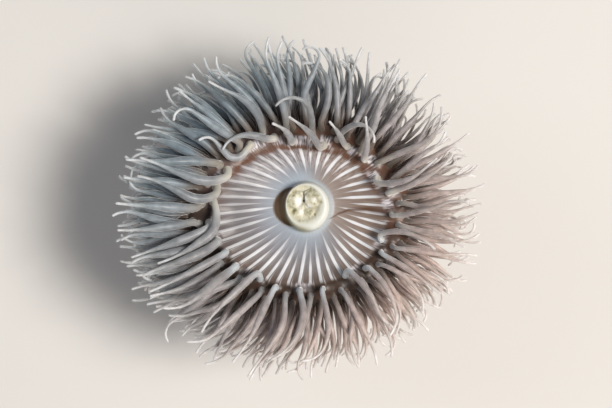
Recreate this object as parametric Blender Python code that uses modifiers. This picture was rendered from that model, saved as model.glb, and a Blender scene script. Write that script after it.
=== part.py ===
"""A sea anemone of the plumose kind, life size, open, standing on its foot with the mouth up.

The body is built first in plain turned form, around the Z axis, and every point is then
passed through lived(), which gives it the living animal's oval head, off-centre mouth,
wavy rim, bowed column and lobed foot. The tentacles grow from the rolled rim in five
rings, square to the skin at the root, and are nudged apart so that none touches another.
Lengths below are in millimetres, and each shape is put into metres as it is made.
"""

import math
from dataclasses import dataclass

import bmesh
import bpy
import numpy as np
from mathutils import Matrix, Vector, kdtree

MM = 0.001

# Body, from the floor up: radii and heights in millimetres, before lived().
FOOT_R = 25.5
FOOT_TOP = 4.0
WAIST_R = 15.0
COLUMN_TOP = 35.0
COLLAR_R = 19.4
COLLAR_TOP = 41.0
SEAT = 55.0
DISC_R = 22.0
DISC_EDGE = 60.6
DISC_DIP = 58.6
CONE_R = 7.0
CONE_TOP = 63.4
PIT_R = 4.9
PIT_FLOOR = 61.4
GAP = 0.3

# The rolled rim that carries the tentacles: an ellipse seen in section.
RIM_R = 25.0
RIM_Z = 57.2
RIM_HALF = (5.1, 4.3)
RIM_FROM, RIM_TO = 125.0, -26.0
RIM_SEAT_R = 28.8

# How the living shape departs from the turned one.
OVAL = 0.10
MOUTH_OVAL = -0.4
MOUTH_SHIFT = (2.2, 2.2)
PIT_SHIFT = (-1.0, 1.0)
RIM_WAVE = 0.7
BOW = 1.6
BOW_HEADING = 215.0
FOOT_LOBE = 0.035

SEGMENTS = 26
SECTORS = 12
SECTOR_FROM = 11.8

# Each finish is a colour and a roughness.
COLUMN_SKIN = ((0.30, 0.22, 0.16), 0.55)
UPPER_SKIN = ((0.34, 0.29, 0.25), 0.50)
DISC_SKIN = ((0.46, 0.44, 0.43), 0.45)
MOUTH_SKIN = ((0.78, 0.74, 0.58), 0.40)
LIP_SKIN = ((0.86, 0.83, 0.74), 0.35)
TENTACLE_SKIN = ((0.48, 0.49, 0.48), 0.40)

# Tentacles. REACH makes those at the narrow sides of the oval head longer, SHORTER draws
# them in at the SHORT_SIDE, and DRIFT turns their ends, in degrees, with the water's flow.
# Those at the FULL_SIDE, in degrees, have the thickest bellies, and those drawn in to less
# than the fraction HELD_SHORT of their length have next to none. Those at the SLIM_SIDE are
# slimmer by the fraction SLIMMER and lean less by the fraction STRAIGHTER, and the inner
# ones among them grow EASED degrees further out on the rim.
PATH_POINTS = 25
APART = 0.5
RIM_CLEAR = 0.5
NUDGES = 60
REACH = 0.11
CURRENT = (-0.16, 0.06, 0.0)
DRIFT = 30.0
SHORT_SIDE = 290.0
SHORTER = 0.17
FULL_SIDE = 195.0
FULLER = 0.6
HELD_SHORT = 0.85
SLIM_SIDE = 322.0
SLIMMER = 0.28
STRAIGHTER = 0.65
EASED = 16.0
TIP_R = 0.36
SEED = 11


@dataclass(frozen=True)
class Ring:
    """One ring of tentacles on the rim: where it grows and how its tentacles are held."""

    count: int
    phase: float
    place: float
    length: float
    root_r: float
    belly: float
    rise: float
    fall: float
    lean: float
    solid_every: int
    solid_from: int


RINGS = (
    Ring(24, 0.0, 108.0, 30.5, 0.99, 0.28, 36.0, 8.0, 0.45, 1, 0),
    Ring(24, 0.5, 74.0, 28.5, 0.94, 0.28, 25.0, 4.0, 0.40, 1, 0),
    Ring(48, 0.5, 50.0, 26.0, 0.88, 0.26, 14.0, -2.0, 0.30, 2, 0),
    Ring(96, 0.5, 23.0, 23.0, 0.79, 0.20, 1.0, -9.0, 0.20, 4, 1),
    Ring(96, 0.0, -4.0, 20.0, 0.72, 0.14, -14.0, -26.0, 0.15, 4, 0),
)


@dataclass(frozen=True)
class Curl:
    """A tentacle held in its own way, by ring and place in the ring.

    headings and rises are in degrees at a quarter, a half, three quarters and the end of
    its length: the heading from straight outwards, anticlockwise, and the rise above level.
    turn and place shift its root round the body and round the rim's section, in degrees.
    """

    headings: tuple
    rises: tuple
    lean: float = 0.0
    length: float = 1.0
    turn: float = 0.0
    place: float = 0.0


CURLS = {
    (0, 2): Curl((-30, -14, 10, 10), (40, 28, 20, 12), -0.5, 0.90),
    (0, 3): Curl((29, 44, 50, 46), (60, 58, 52, 44), 0.1, 0.76, 0.0, -14.0),
    (0, 4): Curl((58, 66, 74, 72), (56, 60, 60, 50), 0.5, 0.50, 0.0, -22.0),
    (0, 5): Curl((46, 60, 72, 76), (56, 54, 50, 44), 0.4, 0.68, -2.0),
    (0, 6): Curl((8, 24, 48, 66), (68, 60, 50, 36), 0.0, 0.46, 5.0, -6.0),
    (0, 7): Curl((57, 70, 100, 150), (36, 20, 6, -12), 0.6, 0.60, 0.5, -28.0),
    (0, 8): Curl((104, 8, 4, 110), (14, 26, 26, 6), 1.5, 0.66, 0.5, -26.0),
    (0, 9): Curl((46, 12, 8, 14), (24, 14, 8, 4), 0.5, 1.08, 7.0, -8.0),
    (0, 10): Curl((40, -12, -6, 10), (24, 16, 8, 2), 0.4, 1.05, 8.0, -2.0),
    (0, 11): Curl((96, 50, 36, 28), (18, 16, 10, 2), 1.0, 1.08, 6.0),
    (0, 12): Curl((24, 18, 12, 16), (16, 10, 4, 0), 0.4, 1.05, 7.0, -8.0),
    (0, 13): Curl((14, 10, 6, 20), (28, 18, 6, 0), 0.1, 1.05, 6.0),
    (0, 14): Curl((4, 2, 4, 2), (26, 16, 8, 2), 0.3, 1.05, 2.0),
    (0, 16): Curl((-16, -14, -6, 14), (30, 18, 6, -6), -0.5, 0.95, 4.0),
    (0, 20): Curl((10, 4, -12, 16), (36, 20, 8, 0), 0.4, 0.95, 1.0),
    (0, 23): Curl((34, 10, -10, -24), (40, 26, 14, 4), 0.8, 0.85, -5.0),
    (1, 4): Curl((-16, -40, -90, -150), (60, 46, 22, -6), 0.0, 0.70),
    (1, 5): Curl((10, 24, 90, 160), (62, 44, 16, -24), 0.0, 0.80),
    (1, 21): Curl((10, -8, -20, -60), (30, 20, 6, -20), 0.4, 0.95),
}
PARTED = (2, 5, 6, 7, 8, 9, 10, 11, 12, 16, 23)


def smooth(t):
    """0 below 0, 1 above 1, and an even S between."""
    t = np.clip(t, 0.0, 1.0)
    return t * t * (3 - 2 * t)


def lived(points):
    """Moves points of the plain turned form, in millimetres, to where the animal has them."""
    points = np.asarray(points, float)
    x, y, z = points[..., 0], points[..., 1], points[..., 2]
    r, turn = np.hypot(x, y), np.arctan2(y, x)
    on_top = z > SEAT + GAP / 2
    from_mouth = np.clip((r - CONE_R) / (DISC_R - CONE_R), 0, 1)
    oval = OVAL * smooth((z - COLUMN_TOP) / (SEAT - 3 - COLUMN_TOP))
    oval = oval * np.where(on_top, MOUTH_OVAL + (1 - MOUTH_OVAL) * from_mouth, 1.0)
    lobes = np.sin(5 * turn + 0.4) + 0.6 * np.sin(3 * turn + 2.0)
    spread = 1 + FOOT_LOBE * lobes * smooth((12 - z) / 12)
    bow = BOW * np.sin(math.pi * np.clip(z / SEAT, 0, 1))
    heading = math.radians(BOW_HEADING)
    off_centre = np.clip((DISC_R - r) / (DISC_R - CONE_R - 2), 0, 1) * on_top
    pit = smooth((CONE_R - r) / 2.3) * (z > DISC_DIP + 1)
    wave = np.sin(3 * turn + 0.6) + 0.6 * np.sin(5 * turn + 1.0)
    lift = RIM_WAVE * wave * smooth((z - 56) / 3) * smooth((r - 10) / 14)
    across = x * spread * (1 + oval) + bow * math.cos(heading)
    along = y * spread * (1 - oval) + bow * math.sin(heading)
    across = across + MOUTH_SHIFT[0] * off_centre + PIT_SHIFT[0] * pit
    along = along + MOUTH_SHIFT[1] * off_centre + PIT_SHIFT[1] * pit
    return np.stack((across, along, z + lift), axis=-1)


def rim_point(place, turn, raised=0.0):
    """A point on the rolled rim, at angles in radians round its section and round the body."""
    along, up = math.cos(place) / RIM_HALF[0], math.sin(place) / RIM_HALF[1]
    size = math.hypot(along, up)
    r = RIM_R + RIM_HALF[0] * math.cos(place) + raised * along / size
    z = RIM_Z + RIM_HALF[1] * math.sin(place) + raised * up / size
    return np.array((r * math.cos(turn), r * math.sin(turn), z))


def root_of(place, turn):
    """Where a tentacle leaves the rim, and the way square to the skin there."""
    step = 0.01
    across = lived(rim_point(place - step, turn)) - lived(rim_point(place + step, turn))
    around = lived(rim_point(place, turn + step)) - lived(rim_point(place, turn - step))
    out = np.cross(around, -across)
    out /= np.linalg.norm(out)
    if out @ (lived(rim_point(place, turn, 1.0)) - lived(rim_point(place, turn))) < 0:
        out = -out
    return lived(rim_point(place, turn)), out


def held(root, out, headings, rises, lean, bend_at, length):
    """A tentacle's centreline: square to the skin, leaning, then the way it is held."""
    outward = np.array((root[0], root[1], 0.0))
    outward /= np.linalg.norm(outward)
    sideways = np.array((-outward[1], outward[0], 0.0))
    up = np.array((0.0, 0.0, 1.0))
    u = np.linspace(0, 1, PATH_POINTS)
    keys = (0.0, 0.25, 0.5, 0.75, 1.0)
    heading = np.radians(np.interp(u, keys, (headings[0], *headings)))[:, None]
    rise = np.radians(np.interp(u, keys, (rises[0], *rises)))[:, None]
    level = np.cos(heading) * outward + np.sin(heading) * sideways
    aim = np.cos(rise) * level + np.sin(rise) * up
    aim = aim + np.array(CURRENT) * (u**2)[:, None]
    leant = out + lean * sideways - 0.25 * abs(lean) * outward
    leant /= np.linalg.norm(leant)
    first = smooth((u - 0.02) / 0.08)[:, None]
    second = smooth((u - bend_at) / 0.16)[:, None]
    way = (out * (1 - first) + leant * first) * (1 - second) + aim * second
    way /= np.linalg.norm(way, axis=1)[:, None]
    steps = (way[1:] + way[:-1]) / 2 * length / (PATH_POINTS - 1)
    return root + np.vstack((np.zeros(3), np.cumsum(steps, axis=0)))


@dataclass
class Tentacle:
    """A tentacle's ring, its place in it, its centreline, root radius and belly."""

    ring: int
    index: int
    path: np.ndarray
    root_r: float
    belly: float

    def radius(self, u):
        """Fullest just before the middle, then drawn out to a thin, blunt tip."""
        swell = 1 + self.belly * np.exp(-(((u - 0.44) / 0.26) ** 2))
        drawn = 1 - 0.64 * smooth((u - 0.44) / 0.50)
        return np.maximum(self.root_r * swell * drawn, TIP_R)


def grown():
    """Every tentacle of every ring, as it would be held with no neighbours."""
    rng = np.random.default_rng(SEED)
    found = []
    for number, ring in enumerate(RINGS):
        for index in range(ring.count):
            curl = CURLS.get((number, index))
            turn = 2 * math.pi * (index + ring.phase + rng.normal(0, 0.05)) / ring.count
            place = math.radians(ring.place + rng.normal(0, 2.0))
            slim = 0.5 + 0.5 * math.cos(turn - math.radians(SLIM_SIDE))
            if curl:
                turn += math.radians(curl.turn)
                place += math.radians(curl.place)
            elif number == 0:
                place -= math.radians(EASED) * slim
            root, out = root_of(place, turn)
            sway, swing = rng.normal(0, 9.0), rng.normal(0, 13.0)
            start = rng.uniform(0, 2 * math.pi)
            hook = rng.normal(0, 45.0)
            drift = DRIFT * math.sin(turn)
            headings = [
                sway + drift * k / 4 + swing * math.sin(start + 1.5 * k) for k in range(1, 5)
            ]
            headings[3] += hook
            tilt = rng.normal(0, 5.0)
            rises = [ring.rise + (ring.fall - ring.rise) * k / 3 + tilt for k in range(4)]
            lean = rng.normal(0, ring.lean) * (1 - STRAIGHTER * slim)
            stretch = np.clip(rng.normal(1.0, 0.06), 0.88, 1.08)
            if curl:
                headings, rises = curl.headings, curl.rises
                lean, stretch = curl.lean, curl.length
            bend_at = 0.09 if curl and number == 0 else 0.04
            length = ring.length * stretch * (1 - REACH * math.cos(2 * turn))
            aside = (turn - math.radians(SHORT_SIDE) + math.pi) % (2 * math.pi) - math.pi
            length *= 1 - SHORTER * math.exp(-((aside / math.radians(45)) ** 2))
            path = held(root, out, headings, rises, lean, bend_at, length)
            thick = ring.root_r * np.clip(rng.normal(1.0, 0.06), 0.88, 1.12)
            thick *= 1 - SLIMMER * slim
            belly = ring.belly * (1 + FULLER * math.cos(turn - math.radians(FULL_SIDE)))
            if stretch < HELD_SHORT:
                belly = 0.05
            found.append(Tentacle(number, index, path, thick, belly))
    return found


def off_the_rim(points, thick):
    """How far each point, with its radius, must move to lie clear of the rolled rim."""
    oval = np.array((1 + OVAL, 1 - OVAL, 1.0))
    plain = points / oval
    r = np.hypot(plain[:, 0], plain[:, 1])
    along, up = r - RIM_R, plain[:, 2] - RIM_Z
    clear = thick + RIM_CLEAR
    size = np.hypot(along / (RIM_HALF[0] + clear), up / (RIM_HALF[1] + clear))
    deep = np.clip(1 - size, 0, None) / np.maximum(size, 0.2)
    level = plain[:, :2] / r[:, None] * (along * deep)[:, None]
    return np.column_stack((level, up * deep))


def nudge_apart(tentacles):
    """Moves the centrelines until they clear each other and the rim, their lengths kept."""
    rest = np.array([t.path for t in tentacles])
    u = np.linspace(0, 1, PATH_POINTS)
    thick = np.array([t.radius(u) for t in tentacles]).ravel()
    owner = np.repeat(np.arange(len(tentacles)), PATH_POINTS)
    free = np.tile(smooth((u - 0.03) / 0.2), len(tentacles))
    grown_clear = np.tile(smooth((u - 0.12) / 0.12), len(tentacles))[:, None]
    reach = np.linalg.norm(np.diff(rest, axis=1), axis=2)
    paths = rest.copy()
    most = 2 * thick.max() + APART
    for _ in range(NUDGES):
        flat = paths.reshape(-1, 3)
        tree = kdtree.KDTree(len(flat))
        for k, point in enumerate(flat):
            tree.insert(point, k)
        tree.balance()
        push = np.zeros_like(flat)
        for k, point in enumerate(flat):
            for other, j, gap in tree.find_range(point, most):
                need = thick[k] + thick[j] + APART
                if j <= k or owner[j] == owner[k] or gap >= need:
                    continue
                way = (point - np.array(other)) / max(gap, 1e-6)
                share = free[k] + free[j] + 1e-6
                push[k] += way * (need - gap) * free[k] / share
                push[j] -= way * (need - gap) * free[j] / share
        push += grown_clear * off_the_rim(flat, thick)
        moved = paths + 0.6 * push.reshape(paths.shape) - rest
        for _ in range(2):
            moved[:, 1:-1] = 0.25 * moved[:, :-2] + 0.5 * moved[:, 1:-1] + 0.25 * moved[:, 2:]
        aimed = rest + moved
        paths = aimed.copy()
        for k in range(1, PATH_POINTS):
            way = aimed[:, k] - paths[:, k - 1]
            way /= np.linalg.norm(way, axis=1)[:, None]
            paths[:, k] = paths[:, k - 1] + way * reach[:, k - 1][:, None]
    for tentacle, path in zip(tentacles, paths):
        tentacle.path = path


def thinned(path, count):
    """count points of a path, closer together where it bends."""
    steps = np.diff(path, axis=0)
    sizes = np.linalg.norm(steps, axis=1)
    ways = steps / sizes[:, None]
    bends = np.arccos(np.clip((ways[1:] * ways[:-1]).sum(axis=1), -1, 1))
    worth = sizes + 2.5 * (np.append(bends, 0) + np.insert(bends, 0, 0))
    run = np.insert(np.cumsum(worth), 0, 0)
    at = np.interp(np.linspace(0, run[-1], count), run, np.linspace(0, 1, len(path)))
    return at, points_at(path, at)


def points_at(path, at):
    """The points at these fractions of a path."""
    whole = np.linspace(0, 1, len(path))
    return np.stack([np.interp(at, whole, path[:, k]) for k in range(3)], axis=1)


def finished(name, mesh, skin, animal, at=(0.0, 0.0, 0.0)):
    """Adds a mesh, made in the animal's frame, as a named object with its origin at a point."""
    made = bpy.data.materials.new(f"{name}_skin")
    made.use_nodes = True
    shader = made.node_tree.nodes["Principled BSDF"]
    shader.inputs["Base Color"].default_value = (*skin[0], 1.0)
    shader.inputs["Roughness"].default_value = skin[1]
    shader.inputs["Metallic"].default_value = 0.0
    mesh.name = name
    mesh.materials.clear()
    mesh.materials.append(made)
    mesh.transform(Matrix.Translation(-Vector(at)))
    mesh.shade_smooth()
    mesh.set_sharp_from_angle(angle=math.radians(50))
    obj = bpy.data.objects.new(name, mesh)
    obj.location = at
    obj.parent = animal.objects["anemone"]
    animal.objects.link(obj)
    return obj


def turned(profile, segments, sweep=360.0, start=0.0):
    """The mesh of a closed solid turned from (r, z) points, the outer side top to bottom.

    A sweep under 360 degrees gives a wedge, with its two cut ends filled.
    """
    whole = sweep == 360.0
    line = bpy.data.meshes.new("profile")
    closing = [] if whole else [(len(profile) - 1, 0)]
    edges = [(k, k + 1) for k in range(len(profile) - 1)] + closing
    line.from_pydata([(r, 0.0, z) for r, z in profile], edges, [])
    holder = bpy.data.objects.new("profile", line)
    bpy.context.scene.collection.objects.link(holder)
    screw = holder.modifiers.new("Turn", "SCREW")
    screw.angle = math.radians(sweep)
    screw.steps = screw.render_steps = segments
    screw.use_merge_vertices = True
    screw.merge_threshold = 0.0001
    screw.use_normal_calculate = True
    graph = bpy.context.evaluated_depsgraph_get()
    mesh = bpy.data.meshes.new_from_object(holder.evaluated_get(graph))
    bpy.data.objects.remove(holder)
    shape = bmesh.new()
    shape.from_mesh(mesh)
    bmesh.ops.remove_doubles(shape, verts=shape.verts, dist=0.001)
    if not whole:
        bmesh.ops.holes_fill(shape, edges=shape.edges, sides=0)
    bmesh.ops.rotate(shape, verts=shape.verts, matrix=Matrix.Rotation(math.radians(start), 3, "Z"))
    for vert, place in zip(shape.verts, lived([v.co[:] for v in shape.verts])):
        vert.co = place * MM
    bmesh.ops.recalc_face_normals(shape, faces=shape.faces)
    shape.to_mesh(mesh)
    shape.free()
    return mesh


def tube(paths, radii, sides):
    """The mesh of tubes with closed ends, one for each path, radii in millimetres at its points."""
    curve = bpy.data.curves.new("tube", "CURVE")
    curve.dimensions = "3D"
    curve.bevel_depth = MM
    curve.bevel_resolution = (sides - 4) // 2
    curve.use_fill_caps = True
    for path, thick in zip(paths, radii):
        spline = curve.splines.new("POLY")
        spline.points.add(len(path) - 1)
        for point, place, r in zip(spline.points, path, thick):
            point.co = (*(place * MM), 1.0)
            point.radius = r
    holder = bpy.data.objects.new("tube", curve)
    bpy.context.scene.collection.objects.link(holder)
    graph = bpy.context.evaluated_depsgraph_get()
    mesh = bpy.data.meshes.new_from_object(holder.evaluated_get(graph))
    bpy.data.objects.remove(holder)
    shape = bmesh.new()
    shape.from_mesh(mesh)
    bmesh.ops.remove_doubles(shape, verts=shape.verts, dist=1e-6)
    bmesh.ops.recalc_face_normals(shape, faces=shape.faces)
    shape.to_mesh(mesh)
    shape.free()
    return mesh


def tentacle_tube(tentacle, points, sides, span=(0.0, 1.0), sunk=0.0):
    """The path and radii of a tentacle's solid, over part of its length.

    sunk lowers the root below the skin, and a negative value lifts it clear.
    """
    at, path = thinned(tentacle.path, points)
    inside = (at > span[0] + 0.02) & (at < span[1] - 0.02)
    at = np.concatenate(([span[0]], at[inside], [span[1]]))
    path = points_at(tentacle.path, at)
    if span[0] == 0.0:
        path[0] -= sunk * (path[1] - path[0]) / np.linalg.norm(path[1] - path[0])
    fuller = {4: 1.16, 6: 1.06, 8: 1.03}[sides]
    return path, tentacle.radius(at) * fuller


def body_solids(animal):
    """The foot, column, collar, upper column, mouth disc and mouth."""
    foot = ((0, FOOT_TOP), (19.6, FOOT_TOP), (22.6, 2.6), (FOOT_R, 1.1), (FOOT_R, 0), (0, 0))
    finished("pedal_disc", turned(foot, SEGMENTS), COLUMN_SKIN, animal)
    column = (
        (0, COLUMN_TOP),
        (16.4, COLUMN_TOP),
        (WAIST_R + 0.2, 28),
        (WAIST_R, 20),
        (WAIST_R + 1.2, 11),
        (19.0, FOOT_TOP + GAP),
        (0, FOOT_TOP + GAP),
    )
    finished("column", turned(column, SEGMENTS), COLUMN_SKIN, animal)
    collar = (
        (0, COLLAR_TOP),
        (15.6, COLLAR_TOP),
        (16.4, 39.6),
        (18.6, 40.2),
        (COLLAR_R, 38.6),
        (18.6, 36.6),
        (16.6, COLUMN_TOP + GAP),
        (0, COLUMN_TOP + GAP),
    )
    finished("collar", turned(collar, SEGMENTS), COLUMN_SKIN, animal)
    upper = (
        (0, SEAT),
        (RIM_SEAT_R, SEAT),
        (RIM_SEAT_R - 1.6, 53.6),
        (22.0, 50.0),
        (17.6, 46.0),
        (15.6, COLLAR_TOP + GAP),
        (0, COLLAR_TOP + GAP),
    )
    finished("capitulum", turned(upper, SEGMENTS), UPPER_SKIN, animal)
    inner = CONE_R + 1.0
    disc = (
        (inner, DISC_DIP - 0.2),
        (13.0, DISC_DIP),
        (18.5, DISC_DIP + 0.7),
        (DISC_R, DISC_EDGE),
        (DISC_R, SEAT + GAP),
        (inner, SEAT + GAP),
        (inner, DISC_DIP - 0.2),
    )
    finished("oral_disc", turned(disc, 26), DISC_SKIN, animal)


def mouth_solids(animal):
    """The raised mouth, a low cone with a pit, and the four lips that fill the pit."""
    cone = (
        (0, PIT_FLOOR),
        (PIT_R - 0.6, PIT_FLOOR),
        (PIT_R, CONE_TOP - 0.6),
        (PIT_R + 0.9, CONE_TOP),
        (CONE_R - 0.5, CONE_TOP - 0.8),
        (CONE_R, CONE_TOP - 2.2),
        (CONE_R - 0.4, DISC_DIP + 0.8),
        (CONE_R + 0.7, DISC_DIP - 0.3),
        (CONE_R + 0.7, SEAT + GAP),
        (0, SEAT + GAP),
    )
    finished("mouth_cone", turned(cone, 16), MOUTH_SKIN, animal)
    lips = ((-2.05, 0.85, 1.85), (2.05, 0.95, 1.85), (-1.45, -2.45, 1.2), (1.45, -2.4, 1.2))
    for number, (x, y, half) in enumerate(lips, 1):
        shape = bmesh.new()
        bmesh.ops.create_uvsphere(shape, u_segments=8, v_segments=4, radius=half)
        height = CONE_TOP + 0.35 - PIT_FLOOR - GAP
        bmesh.ops.scale(shape, verts=shape.verts, vec=(1.0, 1.0, height / 2 / half))
        place = lived((x, y, PIT_FLOOR + GAP + height / 2))
        bmesh.ops.translate(shape, verts=shape.verts, vec=place)
        bmesh.ops.scale(shape, verts=shape.verts, vec=(MM, MM, MM))
        mesh = bpy.data.meshes.new(f"lip_{number}")
        shape.to_mesh(mesh)
        shape.free()
        finished(f"lip_{number}", mesh, LIP_SKIN, animal, place * MM)


def crown_solids(animal, growths, tentacles):
    """The rolled rim in twelve wedges, each with the outer tentacles that grow from it."""
    places = np.radians(np.linspace(RIM_FROM, RIM_TO, 6))
    profile = [(DISC_R + GAP, SEAT + GAP), (DISC_R + GAP, DISC_EDGE)]
    for place in places[1:]:
        r, _, z = rim_point(place, 0.0)
        profile.append((r, z))
    profile.append((RIM_SEAT_R, SEAT + GAP))
    sweep = 360.0 / SECTORS
    slit = math.degrees(GAP / RIM_R)
    for sector in range(SECTORS):
        start = SECTOR_FROM + sweep * sector
        wedge = turned(profile, 3, sweep - slit, start + slit / 2)
        name = f"crown_{sector + 1:02d}"
        crown = finished(name, wedge, UPPER_SKIN, animal)
        paths, radii = [], []
        for tentacle in tentacles:
            ring = RINGS[tentacle.ring]
            turn = 360.0 * (tentacle.index + ring.phase) / ring.count
            here = (turn - start) % 360.0 < sweep
            chosen = tentacle.index % ring.solid_every == ring.solid_from
            if tentacle.ring > 0 and here and chosen:
                path, thick = tentacle_tube(tentacle, 6 if tentacle.ring < 3 else 5, 4, sunk=0.9)
                paths.append(path)
                radii.append(thick)
        growth = bpy.data.objects.new(name + "_growth", tube(paths, radii, 4))
        growth.hide_render = True
        growth.display_type = "WIRE"
        growths.objects.link(growth)
        joined = crown.modifiers.new("Tentacles", "BOOLEAN")
        joined.operation = "UNION"
        joined.solver = "EXACT"
        joined.object = growth


def inner_solids(animal, tentacles):
    """The innermost ring, a node each, and the curled ones cut across into two lengths."""
    for tentacle in tentacles:
        if tentacle.ring > 0:
            continue
        name = f"tentacle_{tentacle.index + 1:02d}"
        if tentacle.index in PARTED:
            length = np.linalg.norm(np.diff(tentacle.path, axis=0), axis=1).sum()
            slit = GAP / 2 / length
            lengths = {"_root": (0.0, 0.5 - slit), "_end": (0.5 + slit, 1.0)}
        else:
            lengths = {"": (0.0, 1.0)}
        for part, span in lengths.items():
            points = 9 if part else 7
            path, thick = tentacle_tube(tentacle, points, 6, span, sunk=-0.45)
            mesh = tube([path], [thick], 6)
            finished(name + part, mesh, TENTACLE_SKIN, animal, path[0] * MM)


def main():
    """Clears the scene and models the animal."""
    for obj in list(bpy.data.objects):
        bpy.data.objects.remove(obj)
    animal = bpy.data.collections.new("sea_anemone")
    growths = bpy.data.collections.new("joined_growth")
    for collection in (animal, growths):
        bpy.context.scene.collection.children.link(collection)
    animal.objects.link(bpy.data.objects.new("anemone", None))
    tentacles = grown()
    nudge_apart(tentacles)
    body_solids(animal)
    mouth_solids(animal)
    crown_solids(animal, growths, tentacles)
    inner_solids(animal, tentacles)


main()
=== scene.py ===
"""The looks of a life-size sea anemone, open, standing on its foot with the mouth up.

One wet skin runs from the mouth over the striped disc, the rolled rim, the collar and the
column down to the foot. Five rings of tentacles grow from the rim, over a low fringe of
smaller ones. The body is drawn first as a plain turned form and then moved to the living
animal's shape, as its solids are. Lengths inside the classes are in millimetres until a
mesh is finished, and angles are in radians unless a docstring says degrees.
"""

import logging
import math
from dataclasses import dataclass, field
from enum import Enum

import bmesh
import bpy
import numpy as np
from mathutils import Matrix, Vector, kdtree, noise


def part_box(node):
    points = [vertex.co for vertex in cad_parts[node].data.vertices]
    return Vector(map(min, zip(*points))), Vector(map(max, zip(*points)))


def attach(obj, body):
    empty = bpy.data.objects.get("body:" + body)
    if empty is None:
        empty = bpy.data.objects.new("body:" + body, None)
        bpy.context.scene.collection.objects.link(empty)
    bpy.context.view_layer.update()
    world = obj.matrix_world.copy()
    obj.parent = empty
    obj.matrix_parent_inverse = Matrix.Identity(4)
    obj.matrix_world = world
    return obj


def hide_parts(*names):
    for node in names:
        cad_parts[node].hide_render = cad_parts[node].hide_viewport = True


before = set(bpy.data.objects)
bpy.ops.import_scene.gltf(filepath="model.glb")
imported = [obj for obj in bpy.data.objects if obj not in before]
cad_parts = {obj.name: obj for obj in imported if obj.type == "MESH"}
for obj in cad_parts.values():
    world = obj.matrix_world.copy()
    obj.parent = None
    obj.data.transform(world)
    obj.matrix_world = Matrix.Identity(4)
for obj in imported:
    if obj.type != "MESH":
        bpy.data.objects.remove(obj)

Array = np.ndarray
Mesh = bpy.types.Mesh
Node = bpy.types.Node
Socket = bpy.types.NodeSocket
Tree = bpy.types.NodeTree
Oval = tuple[float, float, float, float, float]

MM = 0.001
TURN = 2 * math.pi
GOLDEN = 0.618034
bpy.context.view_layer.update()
log = logging.getLogger("sea_anemone")


class Slot(Enum):
    """The names of two of the record's material slots."""

    DISC = "disc_skin"
    TENTACLE = "tentacle_skin"


def linear(hex_colour: str) -> tuple[float, float, float, float]:
    """Turns an sRGB hex colour into the linear colour that a shader takes.

    Args:
        hex_colour: Six hex digits.

    Returns:
        Red, green, blue and an alpha of 1.
    """
    parts = [int(hex_colour[k : k + 2], 16) / 255 for k in (0, 2, 4)]
    curve = [c / 12.92 if c <= 0.04045 else ((c + 0.055) / 1.055) ** 2.4 for c in parts]
    return (curve[0], curve[1], curve[2], 1.0)


def out_of(node: Node) -> Socket:
    """The first of a node's outputs that is in use."""
    return next(output for output in node.outputs if output.enabled)


def add(tree: Tree, kind: str, links: tuple | dict = (), **settings: object) -> Node:
    """Adds a node with its settings and its links.

    Args:
        tree: The shader or geometry tree that the node joins.
        kind: The node's type name, which may leave out ShaderNode at its start.
        links: The inputs, in order or by name or number. Each has a socket to link, a node
            whose first output in use is linked, or a value to set.
        settings: The node's own properties.

    Returns:
        The new node.
    """
    node = tree.nodes.new(kind if "Node" in kind else f"ShaderNode{kind}")
    for name, value in settings.items():
        setattr(node, name, value)
    for name, value in links.items() if isinstance(links, dict) else enumerate(links):
        if isinstance(value, Node):
            value = out_of(value)
        if isinstance(value, Socket):
            tree.links.new(value, node.inputs[name])
        else:
            node.inputs[name].default_value = value
    return node


def finished(name: str, constants: dict[str, object]) -> bpy.types.Material:
    """Starts a material whose Principled shader has some of its inputs set.

    Args:
        name: The material's name.
        constants: The values, by the names of the shader's inputs.

    Returns:
        The material.
    """
    made = bpy.data.materials.new(name)
    made.use_nodes = True
    for socket, value in constants.items():
        made.node_tree.nodes["Principled BSDF"].inputs[socket].default_value = value
    return made


def coloured(tree: Tree, value: Socket, stops: tuple[tuple[float, str], ...]) -> Node:
    """Colours by a value, shading evenly from each stop to the next.

    Args:
        tree: The material's tree.
        value: The value, from 0 up.
        stops: Values and hex colours, the highest last.

    Returns:
        The node that gives the colour.
    """
    far = stops[-1][0]
    ramp = add(tree, "ValToRGB", (add(tree, "Math", (value, far), operation="DIVIDE"),))
    elements = ramp.color_ramp.elements
    while len(elements) < len(stops):
        elements.new(0.5)
    for element, (place, tint) in zip(elements, stops):
        element.position = place / far
        element.color = linear(tint)
    return ramp


def clothe(tree: Tree, colour: Node, grain_mm: float, detail: float, strength: float, deep: float) -> None:
    """Gives a material's shader its colour and a fine bumpy grain.

    Args:
        tree: The material's tree.
        colour: The node that gives the colour.
        grain_mm: The size of the grain.
        detail: How many finer layers the grain has.
        strength: The strength of the bump.
        deep: The depth of the bump.
    """
    shader = tree.nodes["Principled BSDF"]
    place = add(tree, "TexCoord").outputs["Object"]
    bumps = add(tree, "TexNoise", {"Vector": place, "Scale": 1 / (grain_mm * MM), "Detail": detail})
    raised = add(tree, "Bump", {"Height": bumps, "Strength": strength, "Distance": deep * MM})
    tree.links.new(out_of(raised), shader.inputs["Normal"])
    tree.links.new(out_of(colour), shader.inputs["Base Color"])


def placed(name: str, data: bpy.types.ID) -> bpy.types.Object:
    """Puts a mesh, a lamp or a camera into the scene.

    Args:
        name: The object's name.
        data: What it shows.

    Returns:
        The object, at the origin.
    """
    obj = bpy.data.objects.new(name, data)
    bpy.context.scene.collection.objects.link(obj)
    return obj


def store(mesh: Mesh, name: str, values: Array | list[float]) -> None:
    """Stores a value for each point of a mesh as an attribute that a finish reads."""
    mesh.attributes.new(name, "FLOAT", "POINT").data.foreach_set("value", np.array(values, np.float32))


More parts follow.
